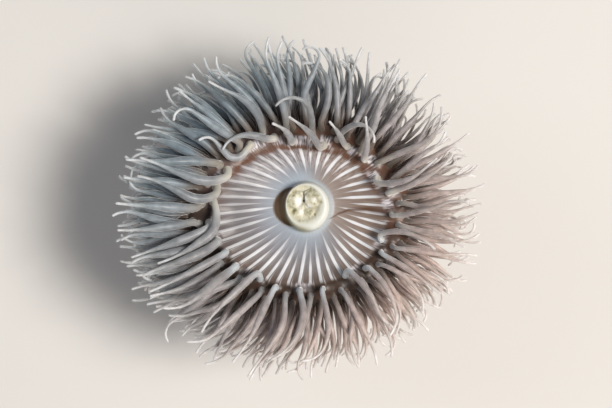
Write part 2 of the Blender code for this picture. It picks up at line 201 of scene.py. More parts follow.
def lay_out(mesh: Mesh, name: str, across: Array, up: Array) -> None:
    """Gives a mesh a UV map, from a place for each corner of its faces."""
    places = np.column_stack((across, up)).astype(np.float32).ravel()
    mesh.uv_layers.new(name=name).data.foreach_set("uv", places)


def corners(mesh: Mesh) -> tuple[Array, Array]:
    """Lists the corners of a mesh's faces.

    Args:
        mesh: The mesh.

    Returns:
        The point and the face that each corner belongs to.
    """
    point = np.zeros(len(mesh.loops), int)
    mesh.loops.foreach_get("vertex_index", point)
    sizes = np.zeros(len(mesh.polygons), int)
    mesh.polygons.foreach_get("loop_total", sizes)
    return point, np.repeat(np.arange(len(sizes)), sizes)


def over_face(pick: np.ufunc, values: Array, face: Array) -> Array:
    """Gives each corner the value that pick keeps of all those at its face's corners."""
    firsts = np.flatnonzero(np.diff(face, prepend=-1))
    return pick.reduceat(values, firsts)[face]


def smooth(t: Array) -> Array:
    """0 below 0, 1 above 1, and an even S between."""
    t = np.clip(t, 0.0, 1.0)
    return t * t * (3 - 2 * t)


def bell(distance: Array, width: float) -> Array:
    """1 at no distance, falling away as a bell of the given width."""
    return np.exp(-((distance / width) ** 2))


def between(value: Array, starts: float, soft: float, ends: float, softer: float) -> Array:
    """1 from starts to ends, coming and going over the two soft lengths inside them."""
    return smooth((value - starts) / soft) * smooth((ends - value) / softer)


def towards(turn: Array, bearing: float, least: float, soft: float) -> Array:
    """1 round a bearing, 0 where the cosine of the angle from it is under least."""
    return smooth((np.cos(turn - bearing) - least) / soft)


def unit(ways: Array) -> Array:
    """Brings each vector to a length of 1."""
    return ways / np.linalg.norm(ways, axis=-1, keepdims=True)


def sorted_by_place(points: Array) -> kdtree.KDTree:
    """Puts points in a tree that finds the near ones.

    Args:
        points: The points, one to a row.

    Returns:
        The tree, which gives each point's row as its number.
    """
    tree = kdtree.KDTree(len(points))
    for k, point in enumerate(points):
        tree.insert(point, k)
    tree.balance()
    return tree


def padded(points: Array) -> Array:
    """Carries a line on for one point more at each end, so that a spline can start there."""
    return np.vstack((2 * points[0] - points[1], points, 2 * points[-1] - points[-2]))


def spline(a: Array, b: Array, c: Array, d: Array, t: Array) -> Array:
    """Reads the smooth curve through four points, t of the way from the second to the third."""
    bent = 2 * b + (c - a) * t + (2 * a - 5 * b + 4 * c - d) * t**2 + (3 * b - a - 3 * c + d) * t**3
    return 0.5 * bent


@dataclass(frozen=True)
class Form:
    """The turned form's sizes, and how the living animal departs from it.

    The first four heights are read from the CAD nodes, to a tenth of a millimetre. rim_half
    is half the rolled rim's section, outwards and up. The ovals are shares of the radius,
    and the shifts are the way the disc's middle and the pit lie off the axis.
    """

    foot_top: float = round(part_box("pedal_disc")[1].z / MM, 1)
    column_top: float = round(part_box("column")[1].z / MM, 1)
    collar_top: float = round(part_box("collar")[1].z / MM, 1)
    seat: float = round(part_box("capitulum")[1].z / MM, 1)
    foot_r: float = 25.5
    waist_r: float = 15.0
    collar_r: float = 19.4
    disc_r: float = 22.0
    disc_dip: float = 58.6
    cone_r: float = 7.0
    cone_top: float = 63.4
    pit_floor: float = 61.4
    rim_r: float = 25.0
    rim_z: float = 57.2
    rim_half: tuple[float, float] = (5.1, 4.3)
    oval: float = 0.10
    mouth_oval: float = -0.4
    mouth_shift: tuple[float, float] = (2.2, 2.2)
    pit_shift: tuple[float, float] = (-1.0, 1.0)
    rim_wave: float = 0.7
    bow: float = 1.6
    bow_heading: float = math.radians(215.0)
    foot_lobe: float = 0.035

    def lived(self, points: Array) -> Array:
        """Moves points of the turned form to where the living animal has them.

        Args:
            points: Points in millimetres, in an array whose last axis is x, y and z.

        Returns:
            The moved points, in the same shape.
        """
        x, y, z = np.moveaxis(np.asarray(points, float), -1, 0)
        r, turn = np.hypot(x, y), np.arctan2(y, x)
        on_top = z > self.seat + 0.15
        oval = self.oval * smooth((z - self.column_top) / (self.seat - 3 - self.column_top))
        from_mouth = np.clip((r - self.cone_r) / (self.disc_r - self.cone_r), 0, 1)
        rounder = self.mouth_oval + (1 - self.mouth_oval) * from_mouth
        oval = oval * np.where(on_top, rounder, 1.0)
        lobes = np.sin(5 * turn + 0.4) + 0.6 * np.sin(3 * turn + 2.0)
        spread = 1 + self.foot_lobe * lobes * smooth((12 - z) / 12)
        bow = self.bow * np.sin(math.pi * np.clip(z / self.seat, 0, 1))
        inward = np.clip((self.disc_r - r) / (self.disc_r - self.cone_r - 2), 0, 1) * on_top
        pit = smooth((self.cone_r - r) / 2.3) * (z > self.disc_dip + 1)
        wave = np.sin(3 * turn + 0.6) + 0.6 * np.sin(5 * turn + 1.0)
        lift = self.rim_wave * wave * smooth((z - 56) / 3) * smooth((r - 10) / 14)
        across = x * spread * (1 + oval) + bow * math.cos(self.bow_heading)
        along = y * spread * (1 - oval) + bow * math.sin(self.bow_heading)
        across = across + self.mouth_shift[0] * inward + self.pit_shift[0] * pit
        along = along + self.mouth_shift[1] * inward + self.pit_shift[1] * pit
        return np.stack((across, along, z + lift), axis=-1)

    def rim_point(self, place: float, turn: float, raised: float = 0.0) -> Array:
        """Finds a point on the rolled rim.

        Args:
            place: Angle round the rim's section.
            turn: Angle round the body.
            raised: Height above the skin.

        Returns:
            The point in the turned form.
        """
        along = math.cos(place) / self.rim_half[0]
        up = math.sin(place) / self.rim_half[1]
        size = math.hypot(along, up)
        r = self.rim_r + self.rim_half[0] * math.cos(place) + raised * along / size
        z = self.rim_z + self.rim_half[1] * math.sin(place) + raised * up / size
        return np.array((r * math.cos(turn), r * math.sin(turn), z))

    def root_of(self, place: float, turn: float) -> tuple[Array, Array]:
        """Finds where a tentacle leaves the rim, and the way square to the skin there.

        Args:
            place: Angle round the rim's section.
            turn: Angle round the body.

        Returns:
            The root and the unit vector outwards.
        """
        step = 0.01
        before, after = self.rim_point(place - step, turn), self.rim_point(place + step, turn)
        left, right = self.rim_point(place, turn + step), self.rim_point(place, turn - step)
        across, over = self.lived(left) - self.lived(right), self.lived(after) - self.lived(before)
        out = unit(np.cross(across, over))
        root = self.lived(self.rim_point(place, turn))
        if out @ (self.lived(self.rim_point(place, turn, 1.0)) - root) < 0:
            out = -out
        return root, out


@dataclass(frozen=True)
class Ring:
    """One ring of tentacles on the rim: where it grows and how its tentacles are held.

    place is degrees round the rim's section, rise and fall are degrees above level at the
    root and at the tip, belly is the share by which the middle is thicker than the root,
    and lean is how far roots may lean to a side.
    """

    count: int
    phase: float
    place: float
    length: float
    root_r: float
    belly: float
    rise: float
    fall: float
    lean: float


@dataclass(frozen=True)
class Curl:
    """How a tentacle is held.

    headings and rises are in degrees at a quarter, a half, three quarters and the end of
    its length: the heading from straight outwards, anticlockwise, and the rise above level.
    turn and place shift its root round the body and round the rim's section, in degrees.
    """

    headings: tuple[float, ...]
    rises: tuple[float, ...]
    lean: float = 0.0
    length: float = 1.0
    turn: float = 0.0
    place: float = 0.0


RINGS = (
    Ring(24, 0.0, 108.0, 30.5, 0.99, 0.28, 36.0, 8.0, 0.45),
    Ring(24, 0.5, 74.0, 28.5, 0.94, 0.28, 25.0, 4.0, 0.40),
    Ring(48, 0.5, 50.0, 26.0, 0.88, 0.26, 14.0, -2.0, 0.30),
    Ring(96, 0.5, 23.0, 23.0, 0.79, 0.20, 1.0, -9.0, 0.20),
    Ring(96, 0.0, -4.0, 20.0, 0.72, 0.14, -14.0, -26.0, 0.15),
)
FRINGE = Ring(216, 0.25, -26.0, 22.5, 0.62, 0.16, -12.0, -28.0, 0.30)

# Tentacles that are held in their own way, by ring and by place in the ring.
CURLS = {
    (0, 2): Curl((-30, -14, 10, 10), (40, 28, 20, 12), -0.5, 0.90),
    (0, 3): Curl((29, 44, 50, 46), (60, 58, 52, 44), 0.1, 0.76, 0.0, -14.0),
    (0, 4): Curl((58, 66, 74, 72), (56, 60, 60, 50), 0.5, 0.50, 0.0, -22.0),
    (0, 5): Curl((46, 60, 72, 76), (56, 54, 50, 44), 0.4, 0.68, -2.0),
    (0, 6): Curl((8, 24, 48, 66), (68, 60, 50, 36), 0.0, 0.46, 5.0, -6.0),
    (0, 7): Curl((57, 70, 100, 150), (36, 20, 6, -12), 0.6, 0.60, 0.5, -28.0),
    (0, 8): Curl((104, 8, 4, 110), (14, 26, 26, 6), 1.5, 0.66, 0.5, -26.0),
    (0, 9): Curl((46, 12, 8, 14), (24, 14, 8, 4), 0.5, 1.08, 7.0, -8.0),
    (0, 10): Curl((40, -12, -6, 10), (24, 16, 8, 2), 0.4, 1.05, 8.0, -2.0),
    (0, 11): Curl((96, 50, 36, 28), (18, 16, 10, 2), 1.0, 1.08, 6.0),
    (0, 12): Curl((24, 18, 12, 16), (16, 10, 4, 0), 0.4, 1.05, 7.0, -8.0),
    (0, 13): Curl((14, 10, 6, 20), (28, 18, 6, 0), 0.1, 1.05, 6.0),
    (0, 14): Curl((4, 2, 4, 2), (26, 16, 8, 2), 0.3, 1.05, 2.0),
    (0, 16): Curl((-16, -14, -6, 14), (30, 18, 6, -6), -0.5, 0.95, 4.0),
    (0, 20): Curl((10, 4, -12, 16), (36, 20, 8, 0), 0.4, 0.95, 1.0),
    (0, 23): Curl((34, 10, -10, -24), (40, 26, 14, 4), 0.8, 0.85, -5.0),
    (1, 4): Curl((-16, -40, -90, -150), (60, 46, 22, -6), 0.0, 0.70),
    (1, 5): Curl((10, 24, 90, 160), (62, 44, 16, -24), 0.0, 0.80),
    (1, 21): Curl((10, -8, -20, -60), (30, 20, 6, -20), 0.4, 0.95),
}


@dataclass
class Tentacle:
    """A tentacle's ring, its centreline, the way out of the skin, and its thickness."""

    ring: int
    path: Array
    out: Array
    root_r: float
    belly: float
    tip_r: float

    def radius(self, u: Array) -> Array:
        """Swells just before the middle, then draws out to a thin, blunt tip.

        Args:
            u: Fractions of the tentacle's length.

        Returns:
            Its radius there.
        """
        swell = 1 + self.belly * bell(u - 0.44, 0.26)
        drawn = 1 - 0.64 * smooth((u - 0.44) / 0.50)
        return np.maximum(self.root_r * swell * drawn, self.tip_r)


@dataclass
class Crown:
    """All the tentacles: how they are held, and how they keep clear of each other.

    apart and rim_clear are the room kept between tentacles and above the rim, which nudges
    small moves find, each a share called step of the push. The tentacles are longer along
    the body by the share reach, bend with the current and drift to one side, in degrees.
    Round three bearings they are shorter, fuller, or slimmer and straighter, and there the
    inner ring's roots slip outwards by eased. jitters are the spreads of the random draws:
    of a root round the body in places of the ring, and in degrees of a root round the rim
    and of a tentacle's sway, swing, hook and tilt.
    """

    form: Form
    path_points: int = 25
    apart: float = 0.5
    rim_clear: float = 0.5
    nudges: int = 60
    step: float = 0.6
    reach: float = 0.11
    current: tuple[float, float, float] = (-0.16, 0.06, 0.0)
    drift: float = 30.0
    short_side: float = math.radians(290.0)
    short_spread: float = math.radians(45)
    shorter: float = 0.17
    full_side: float = math.radians(195.0)
    fuller: float = 0.6
    held_short: float = 0.85
    short_belly: float = 0.05
    slim_side: float = math.radians(322.0)
    slimmer: float = 0.28
    straighter: float = 0.65
    eased: float = math.radians(16.0)
    jitters: tuple[float, ...] = (0.05, 2.0, 9.0, 13.0, 45.0, 5.0)
    uneven: float = 0.06
    tip_r: float = 0.36
    seed: int = 11
    tentacles: list[Tentacle] = field(default_factory=list)

    def grow(self) -> None:
        """Makes every tentacle as it would be held with no neighbours, and parts them.

        The fringe is grown last and finds its room among the rings already in place.
        """
        rng = np.random.default_rng(self.seed)
        for number, ring in enumerate(RINGS):
            self.tentacles += [self._one(rng, number, index, ring) for index in range(ring.count)]
        self._nudge_apart(0, self.nudges)
        settled = len(self.tentacles)
        self.tentacles += [self._one(rng, len(RINGS), index, FRINGE) for index in range(FRINGE.count)]
        self._nudge_apart(settled, self.nudges // 2)

    def _one(self, rng: np.random.Generator, number: int, index: int, ring: Ring) -> Tentacle:
        """Makes one tentacle.

        Args:
            rng: The crown's own random numbers.
            number: The ring's number, 0 for the innermost.
            index: The tentacle's place in its ring.
            ring: The ring.

        Returns:
            The tentacle, as held with no neighbours.
        """
        curl = CURLS.get((number, index))
        shift, slip, sway, swing, hook, tilt = self.jitters
        turn = TURN * (index + ring.phase + rng.normal(0, shift)) / ring.count
        place = math.radians(ring.place + rng.normal(0, slip))
        slim = 0.5 + 0.5 * math.cos(turn - self.slim_side)
        if curl:
            turn += math.radians(curl.turn)
            place += math.radians(curl.place)
        elif number == 0:
            place -= self.eased * slim
        root, out = self.form.root_of(place, turn)
        sway, swing = rng.normal(0, sway), rng.normal(0, swing)
        start = rng.uniform(0, TURN)
        hook = rng.normal(0, hook)
        drift = self.drift * math.sin(turn)
        headings = [sway + drift * k / 4 + swing * math.sin(start + 1.5 * k) for k in range(1, 5)]
        headings[3] += hook
        tilt = rng.normal(0, tilt)
        rises = [ring.rise + (ring.fall - ring.rise) * k / 3 + tilt for k in range(4)]
        lean = rng.normal(0, ring.lean) * (1 - self.straighter * slim)
        stretch = np.clip(rng.normal(1.0, self.uneven), 0.88, 1.08)
        held = curl or Curl(tuple(headings), tuple(rises), lean, stretch)
        bend_at = 0.09 if curl and number == 0 else 0.04
        length = ring.length * held.length * (1 - self.reach * math.cos(2 * turn))
        aside = (turn - self.short_side + math.pi) % TURN - math.pi
        length *= 1 - self.shorter * math.exp(-((aside / self.short_spread) ** 2))
        path = self._held(root, out, held, bend_at, length)
        thick = ring.root_r * np.clip(rng.normal(1.0, self.uneven), 0.88, 1.12)
        thick *= 1 - self.slimmer * slim
        belly = ring.belly * (1 + self.fuller * math.cos(turn - self.full_side))
        if held.length < self.held_short:
            belly = self.short_belly
        return Tentacle(number, path, out, thick, belly, self.tip_r)

    def _held(self, root: Array, out: Array, held: Curl, bend_at: float, length: float) -> Array:
        """Draws a centreline: square to the skin, leaning, then the way it is held.

        Args:
            root: Where it leaves the skin.
            out: The way square to the skin.
            held: How it is held.
            bend_at: The fraction of the length where it starts to bend.
            length: Its length.

        Returns:
            The centreline's points.
        """
        outward = unit(np.array((root[0], root[1], 0.0)))
        sideways = np.array((-outward[1], outward[0], 0.0))
        up = np.array((0.0, 0.0, 1.0))
        u = np.linspace(0, 1, self.path_points)
        keys = (0.0, 0.25, 0.5, 0.75, 1.0)
        heading, rise = (
            np.radians(np.interp(u, keys, (held_at[0], *held_at)))[:, None]
            for held_at in (held.headings, held.rises)
        )
        level = np.cos(heading) * outward + np.sin(heading) * sideways
        aim = np.cos(rise) * level + np.sin(rise) * up
        aim = aim + np.array(self.current) * (u**2)[:, None]
        leant = unit(out + held.lean * sideways - 0.25 * abs(held.lean) * outward)
        first = smooth((u - 0.02) / 0.08)[:, None]
        second = smooth((u - bend_at) / 0.16)[:, None]
        way = unit((out * (1 - first) + leant * first) * (1 - second) + aim * second)
        steps = (way[1:] + way[:-1]) / 2 * length / (self.path_points - 1)
        return root + np.vstack((np.zeros(3), np.cumsum(steps, axis=0)))

    def _off_the_rim(self, points: Array, thick: Array) -> Array:
        """Finds how far points must move to lie clear of the rolled rim.

        Args:
            points: Points on the centrelines.
            thick: The tentacle's radius at each.

        Returns:
            A move for each point, zero where it is already clear.
        """
        form = self.form
        plain = points / np.array((1 + form.oval, 1 - form.oval, 1.0))
        r = np.hypot(plain[:, 0], plain[:, 1])
        along, up = r - form.rim_r, plain[:, 2] - form.rim_z
        clear = thick + self.rim_clear
        size = np.hypot(along / (form.rim_half[0] + clear), up / (form.rim_half[1] + clear))
        deep = np.clip(1 - size, 0, None) / np.maximum(size, 0.2)
        level = plain[:, :2] / r[:, None] * (along * deep)[:, None]
        return np.column_stack((level, up * deep))

    def _pushes(self, flat: Array, thick: Array, free: Array) -> Array:
        """Finds how neighbouring tentacles push each other's points.

        Args:
            flat: All the centrelines' points in one list, tentacle after tentacle.
            thick: The radius at each.
            free: How freely each may move, 0 at the roots.

        Returns:
            A move for each point.
        """
        tree = sorted_by_place(flat)
        push = np.zeros_like(flat)
        most = 2 * thick.max() + self.apart
        for k, point in enumerate(flat):
            for other, j, gap in tree.find_range(point, most):
                need = thick[k] + thick[j] + self.apart
                if j <= k or j // self.path_points == k // self.path_points or gap >= need:
                    continue
                way = (point - np.array(other)) / max(gap, 1e-6)
                share = free[k] + free[j] + 1e-6
                push[k] += way * (need - gap) * free[k] / share
                push[j] -= way * (need - gap) * free[j] / share
        return push

    def _nudge_apart(self, settled: int, nudges: int) -> None:
        """Moves the centrelines until they clear each other and the rim, lengths kept.

        Args:
            settled: How many of the first tentacles stay where they are.
            nudges: How many small moves are made.
        """
        rest = np.array([t.path for t in self.tentacles])
        u = np.linspace(0, 1, self.path_points)
        thick = np.array([t.radius(u) for t in self.tentacles]).ravel()
        free = np.tile(smooth((u - 0.03) / 0.2), len(rest))
        free[: settled * self.path_points] = 0.0
        clear_of_rim = np.tile(smooth((u - 0.12) / 0.12), len(rest))[:, None]
        reach = np.linalg.norm(np.diff(rest, axis=1), axis=2)
        paths = rest.copy()
        for _ in range(nudges):
            flat = paths.reshape(-1, 3)
            push = self._pushes(flat, thick, free)
            push += clear_of_rim * self._off_the_rim(flat, thick)
            moved = paths + self.step * push.reshape(paths.shape) - rest
            for _ in range(2):
                ends = moved[:, :-2] + moved[:, 2:]
                moved[:, 1:-1] = 0.25 * ends + 0.5 * moved[:, 1:-1]
            aimed = rest + moved
            paths = aimed.copy()
            for k in range(1, self.path_points):
                way = unit(aimed[:, k] - paths[:, k - 1])
                paths[:, k] = paths[:, k - 1] + way * reach[:, k - 1][:, None]
            paths[:settled] = rest[:settled]
        for tentacle, path in zip(self.tentacles, paths):
            tentacle.path = path


@dataclass(frozen=True)
class Stripes:
    """A set of pale radial lines on the disc, where the body's inner walls join the skin.

    starts and ends are distances from the mouth's centre.
    """

    count: int
    phase: float
    starts: float
    ends: float
    width: float
    strength: float


STRIPES = (
    Stripes(24, 0.0, 8.6, 23.4, 0.90, 0.93),
    Stripes(24, 0.5, 12.0, 23.6, 0.78, 0.88),
    Stripes(48, 0.28, 18.6, 25.2, 0.5, 0.6),
)


@dataclass(frozen=True)
class Shade:
    """A tint that lies on one side of the disc's upper face.

    It lies round a bearing, as far as the cosine of the angle from it is over least, and
    between two distances from the mouth's centre. Each limit has its own softness.
    """

    mark: str
    strength: float
    bearing: float
    least: float
    soft: float
    starts: float
    start_soft: float
    ends: float
    end_soft: float


# The first two rows are painted shade, darkening the disc on its left side and on its lower side, away
# from the light. The third makes the upper side paler and the fourth the right side browner.
SHADES = (
    Shade("painted_side_shade", 0.54, 2.75, 0.3, 0.6, 12.0, 6.0, 99.0, 1.0),
    Shade("painted_side_shade", 0.22, -1.6, 0.2, 0.7, 7.5, 2.0, 17.5, 3.5),
    Shade("patch", 0.22, 1.6, 0.3, 0.6, 11.0, 4.0, 21.5, 1.5),
    Shade("warm", 0.85, 0.25, 0.05, 0.8, 7.2, 1.5, 24.0, 2.0),
)


@dataclass(frozen=True)
class LivingSkin:
    """Wet living skin over clear jelly: soft depth, a film of water, fine grain.

    The eye gets a smooth, slightly glossy surface that light sinks into. The stops give the
    colour by distance along the skin from the middle of the mouth. The lines are how many
    fine ones would go round the body. Each mark is a value that the mesh carries, from 0
    to 1, and marks lie over each other in the order given. The grain is drawn a little
    coarse so that it shows.
    """

    # From 24 mm on, the stops go to a deep brown over the rim and under it: partly the skin's own brown
    # and partly painted shade between and under the tentacles.
    stops: tuple[tuple[float, str], ...] = (
        (0.0, "CBC6A8"), (5.2, "D0CDB8"), (6.4, "D2D6CE"), (8.6, "CCD0C6"), (10.2, "B8BEBA"),
        (12.0, "A8B3BE"), (15.0, "9AA1AB"), (19.0, "8A878B"), (24.0, "7C7470"), (29.0, "5C4A40"),
        (34.0, "3E2E24"), (50.0, "40322A"), (62.0, "5C4A3C"), (78.0, "7A5C42"), (105.0, "8A6A4C"),
        (125.0, "7A5C44"), (150.0, "6A5240"),
    )
    stripe: str = "E5E7EB"
    warm_side: str = "8C7A6E"
    # Painted light among the marks: the first is the painted shadow beside the mouth cone, the second
    # painted shade on the disc's left and lower sides, the sixth painted shade between the lower roots,
    # the eighth partly painted shade, the ninth partly painted highlight, and the last the slit's painted
    # shade.
    marks: tuple[tuple[str, str], ...] = (
        ("painted_cone_shadow", "8C7050"), ("painted_side_shade", "69686E"), ("ring_brown", "664636"), ("patch", "E2DEE4"),
        ("root_pale", "8E8478"), ("painted_deep_shade", "30241C"), ("groove", "5A3C28"), ("olive_and_painted_shade", "7A7444"),
        ("lip_white_and_highlight", "F6F6F4"), ("slit", "1E1208"),
    )
    lines: float = 260.0
    grain_mm: float = 0.35
    cloud_mm: float = 5.0

    def material(self) -> bpy.types.Material:
        """Builds the skin's material from the attributes that the body's mesh carries.

        Returns:
            The material.
        """
        film = {"IOR": 1.38, "Roughness": 0.36, "Subsurface Weight": 0.25}
        deep = {"Subsurface Radius": (1.0, 0.85, 0.7), "Subsurface Scale": 1.2 * MM}
        made = finished("wet_living_skin", {**film, **deep})
        tree = made.node_tree
        names = ("run", "reach", "warm", *(name for name, _ in self.marks))
        sensed = {name: add(tree, "Attribute", attribute_name=name).outputs["Fac"] for name in names}
        reach = sensed["reach"]
        turn = add(tree, "SeparateXYZ", (add(tree, "UVMap", uv_map="skin"),)).outputs[0]
        colour = coloured(tree, sensed["run"], self.stops)
        links = {0: sensed["warm"], 6: colour, 7: linear(self.warm_side)}
        colour = add(tree, "Mix", links, data_type="RGBA")
        lines = self._lines(tree, turn, reach)
        colour = self._textured(tree, colour, lines, reach)
        colour = self._striped(tree, colour, turn, reach)
        for name, span in (("patch", (0.42, 0.56, 0.1, 1.0)), ("ring_brown", (0.44, 0.64, 1.0, 0.6))):
            drawn = add(tree, "MapRange", (lines, *span))
            sensed[name] = add(tree, "Math", (sensed[name], drawn), operation="MULTIPLY")
        for name, tint in self.marks:
            colour = add(tree, "Mix", {0: sensed[name], 6: colour, 7: linear(tint)}, data_type="RGBA")
        clothe(tree, colour, self.grain_mm, 3.0, 0.35, 0.1)
        return made

    def _lines(self, tree: Tree, turn: Socket, reach: Socket) -> Node:
        """Makes the fine uneven lines that run out from the mouth.

        Args:
            tree: The material's tree.
            turn: How far round the body the skin lies, from 0 to 1.
            reach: Distance from the mouth's centre.

        Returns:
            The node that gives a value about 0.5, lower and higher in lines.
        """
        turns = add(tree, "Math", (turn, self.lines), operation="MULTIPLY")
        slow = add(tree, "Math", (reach, 0.35), operation="MULTIPLY")
        place = add(tree, "CombineXYZ", (turns, slow))
        return add(tree, "TexNoise", {0: place, "Scale": 1.0, "Detail": 2.0})

    def _textured(self, tree: Tree, colour: Node, lines: Node, reach: Socket) -> Node:
        """Draws the fine lines on the disc, and soft light and dark clouds off it.

        Args:
            tree: The material's tree.
            colour: The colour so far.
            lines: The fine lines.
            reach: Distance from the mouth's centre, large off the disc.

        Returns:
            The node that gives the colour.
        """
        place = add(tree, "TexCoord").outputs["Object"]
        links = {"Vector": place, "Scale": 1 / (self.cloud_mm * MM), "Detail": 5.0, "Roughness": 0.6}
        cloud = add(tree, "TexNoise", links)
        for texture, shades, strength in (
            (lines, (0.35, 0.65, 0.80, 1.10), (9.0, 15.0, 0.1, 0.75)),
            (cloud, (0.3, 0.7, 0.72, 1.32), (28.0, 39.0, 0.0, 1.0)),
        ):
            shade = add(tree, "MapRange", (texture, *shades))
            share = add(tree, "MapRange", (reach, *strength))
            kept = add(tree, "Mix", {0: share, 2: 1.0, 3: shade})
            colour = add(tree, "VectorMath", {0: colour, 3: kept}, operation="SCALE")
        return colour

    def _striped(self, tree: Tree, colour: Node, turn: Socket, reach: Socket) -> Node:
        """Draws the pale radial stripes, each tapering in towards the mouth.

        Args:
            tree: The material's tree.
            colour: The colour so far.
            turn: How far round the body the skin lies, from 0 to 1.
            reach: Distance from the mouth's centre.

        Returns:
            The node that gives the colour.
        """
        for s in STRIPES:
            wave = add(tree, "Math", (turn, s.count), operation="MULTIPLY")
            moved = add(tree, "Math", (wave, 0.5 - s.phase))
            which = add(tree, "Math", (moved,), operation="FLOOR")
            mine = add(tree, "Math", (moved,), operation="FRACT")
            off = add(tree, "Math", (mine, 0.5), operation="SUBTRACT")
            apart = add(tree, "Math", (off,), operation="ABSOLUTE")
            spread = add(tree, "Math", (reach, TURN / s.count), operation="MULTIPLY")
            arc = add(tree, "Math", (apart, spread), operation="MULTIPLY")
            chance = add(tree, "TexWhiteNoise", {"W": which}, noise_dimensions="1D")
            start = add(tree, "Math", (chance, 1.6, s.starts), operation="MULTIPLY_ADD")
            past = add(tree, "Math", (reach, start), operation="SUBTRACT")
            width = add(tree, "MapRange", (past, -0.6, 5.5, 0.0, s.width / 2))
            inside = add(tree, "Math", (width, arc), operation="SUBTRACT")
            mask = add(tree, "MapRange", (inside, -0.07, 0.09))
            fade = add(tree, "MapRange", (reach, s.ends - 1.5, s.ends, s.strength, 0.0))
            rise = add(tree, "MapRange", (past, 0.0, 5.0, 0.4, 1.0))
            for part in (fade, rise):
                mask = add(tree, "Math", (mask, part), operation="MULTIPLY")
            colour = add(tree, "Mix", {0: mask, 6: colour, 7: linear(self.stripe)}, data_type="RGBA")
        return colour


@dataclass(frozen=True)
class TentacleFlesh:
    """Clear grey jelly under a wet skin, milkier at the root and the tip.

    The eye gets soft, see-through grey with light edges. Painted light and shade: the flesh
    is lighter and warmer on the crown's right and lower side, where the light falls, and
    darker and cooler on its left and upper side, which lies in shade; the brown of the roots
    has a lit copy and a shaded copy in the same way. The stops give the colour along a
    tentacle. The grain is drawn a little coarse so that it shows.
    """

    stops: tuple[tuple[float, str], ...] = (
        (0.0, "808688"), (0.3, "808688"), (0.75, "A4A8A8"), (0.93, "E4E6E6"), (1.0, "E4E6E6"),
    )
    creamy_root: str = "E6E3D6"
    icy_root: str = "D8E2E8"
    # the brown of the outer rings' roots, partly their own colour and partly painted shade between the
    # tentacles, as a shaded copy and a lit copy
    shaded_brown_root: str = "40342C"
    lit_brown_root: str = "7E6A60"
    # painted shade and painted light: the darker, cooler tint of the shaded side and the lighter, warmer
    # tint of the lit side
    shaded_cool: str = "708390"
    warm: str = "CEB4AA"
    cloud_mm: float = 2.0
    grain_mm: float = 0.5

    def material(self) -> bpy.types.Material:
        """Builds the flesh's material, which reads how far along each tentacle it is.

        Returns:
            The material.
        """
        film = {"IOR": 1.37, "Roughness": 0.34, "Sheen Weight": 1.0, "Sheen Roughness": 0.35}
        deep = {"Subsurface Radius": (1.0, 0.9, 0.8), "Subsurface Scale": 2.2 * MM}
        made = finished("clear_tentacle_flesh", {**film, **deep, "Subsurface Weight": 0.7})
        tree = made.node_tree
        names = ("along", "cream", "kin")
        along, cream, kin = (add(tree, "Attribute", attribute_name=n).outputs["Fac"] for n in names)
        place = add(tree, "TexCoord").outputs["Object"]
        x, y, _ = add(tree, "SeparateXYZ", (place,)).outputs
        side = self._lit_side(tree, x, y)
        high = add(tree, "MapRange", (y, -0.012, 0.008))
        amount = add(tree, "MapRange", (along, 0.3, 1.0, 0.75, 0.35))
        near = add(tree, "MapRange", (along, 0.06, 0.36, 1.0, 0.0), interpolation_type="SMOOTHSTEP")
        # painted light and shade by side: the tint and the roots' brown go darker on the shaded side and
        # lighter on the lit side
        tint, brown, pale = (
            add(tree, "Mix", {0: share, 6: linear(one), 7: linear(other)}, data_type="RGBA")
            for share, one, other in (
                (side, self.shaded_cool, self.warm),
                (side, self.shaded_brown_root, self.lit_brown_root),
                (high, self.icy_root, self.creamy_root),
            )
        )
        colour = coloured(tree, along, self.stops)
        colour = add(tree, "Mix", {0: amount, 6: colour, 7: tint}, data_type="RGBA")
        colour = self._clouded(tree, colour, place, kin)
        root = add(tree, "Mix", {0: cream, 6: brown, 7: pale}, data_type="RGBA")
        colour = add(tree, "Mix", {0: near, 6: colour, 7: root}, data_type="RGBA")
        clothe(tree, colour, self.grain_mm, 2.0, 0.4, 0.12)
        return made

    @staticmethod
    def _lit_side(tree: Tree, x: Socket, y: Socket) -> Node:
        """Finds how far across the crown the flesh lies, slantwise, for its painted light and shade.

        Args:
            tree: The material's tree.
            x: Place across, in metres.
            y: Place along, in metres.

        Returns:
            The node that gives 0 at the shaded left and upper side and 1 at the lit right and
            lower side, and nearly the same all round close to the disc.
        """
        slant = add(tree, "Math", (y, -1.0, x), operation="MULTIPLY_ADD")
        side = add(tree, "MapRange", (slant, -0.05, 0.055))
        far = add(tree, "VectorMath", (add(tree, "CombineXYZ", (x, y)),), operation="LENGTH")
        out = add(tree, "MapRange", (far, 0.025, 0.038))
        even = add(tree, "MapRange", (side, 0.0, 1.0, 0.2, 0.62))
        return add(tree, "Mix", {0: out, 2: even, 3: side})

    def _clouded(self, tree: Tree, colour: Node, place: Socket, kin: Socket) -> Node:
        """Shades the flesh by small cloudy patches, and from one tentacle to the next.

        Args:
            tree: The material's tree.
            colour: The colour so far.
            place: Place on the object.
            kin: Each tentacle's own value, from 0 to 1.

        Returns:
            The node that gives the colour.
        """
        links = {"Vector": place, "Scale": 1 / (self.cloud_mm * MM), "Detail": 4.0}
        cloudy = add(tree, "MapRange", (add(tree, "TexNoise", links), 0.3, 0.7, 0.8, 1.2))
        own = add(tree, "MapRange", (kin, 0.0, 1.0, 0.86, 1.14))
        both = add(tree, "Math", (cloudy, own), operation="MULTIPLY")
        return add(tree, "VectorMath", {0: colour, 3: both}, operation="SCALE")


@dataclass(frozen=True)
class Points:
    """The body skin's points in the turned form, ring by ring, without its two poles.

    r and turn are the radius and the angle round the body, x and y the same place, z the
    height, run the distance from the mouth along the skin, and top whether a point is on
    the upper side of the rim.
    """

    r: Array
    z: Array
    turn: Array
    run: Array
    x: Array
    y: Array
    top: Array


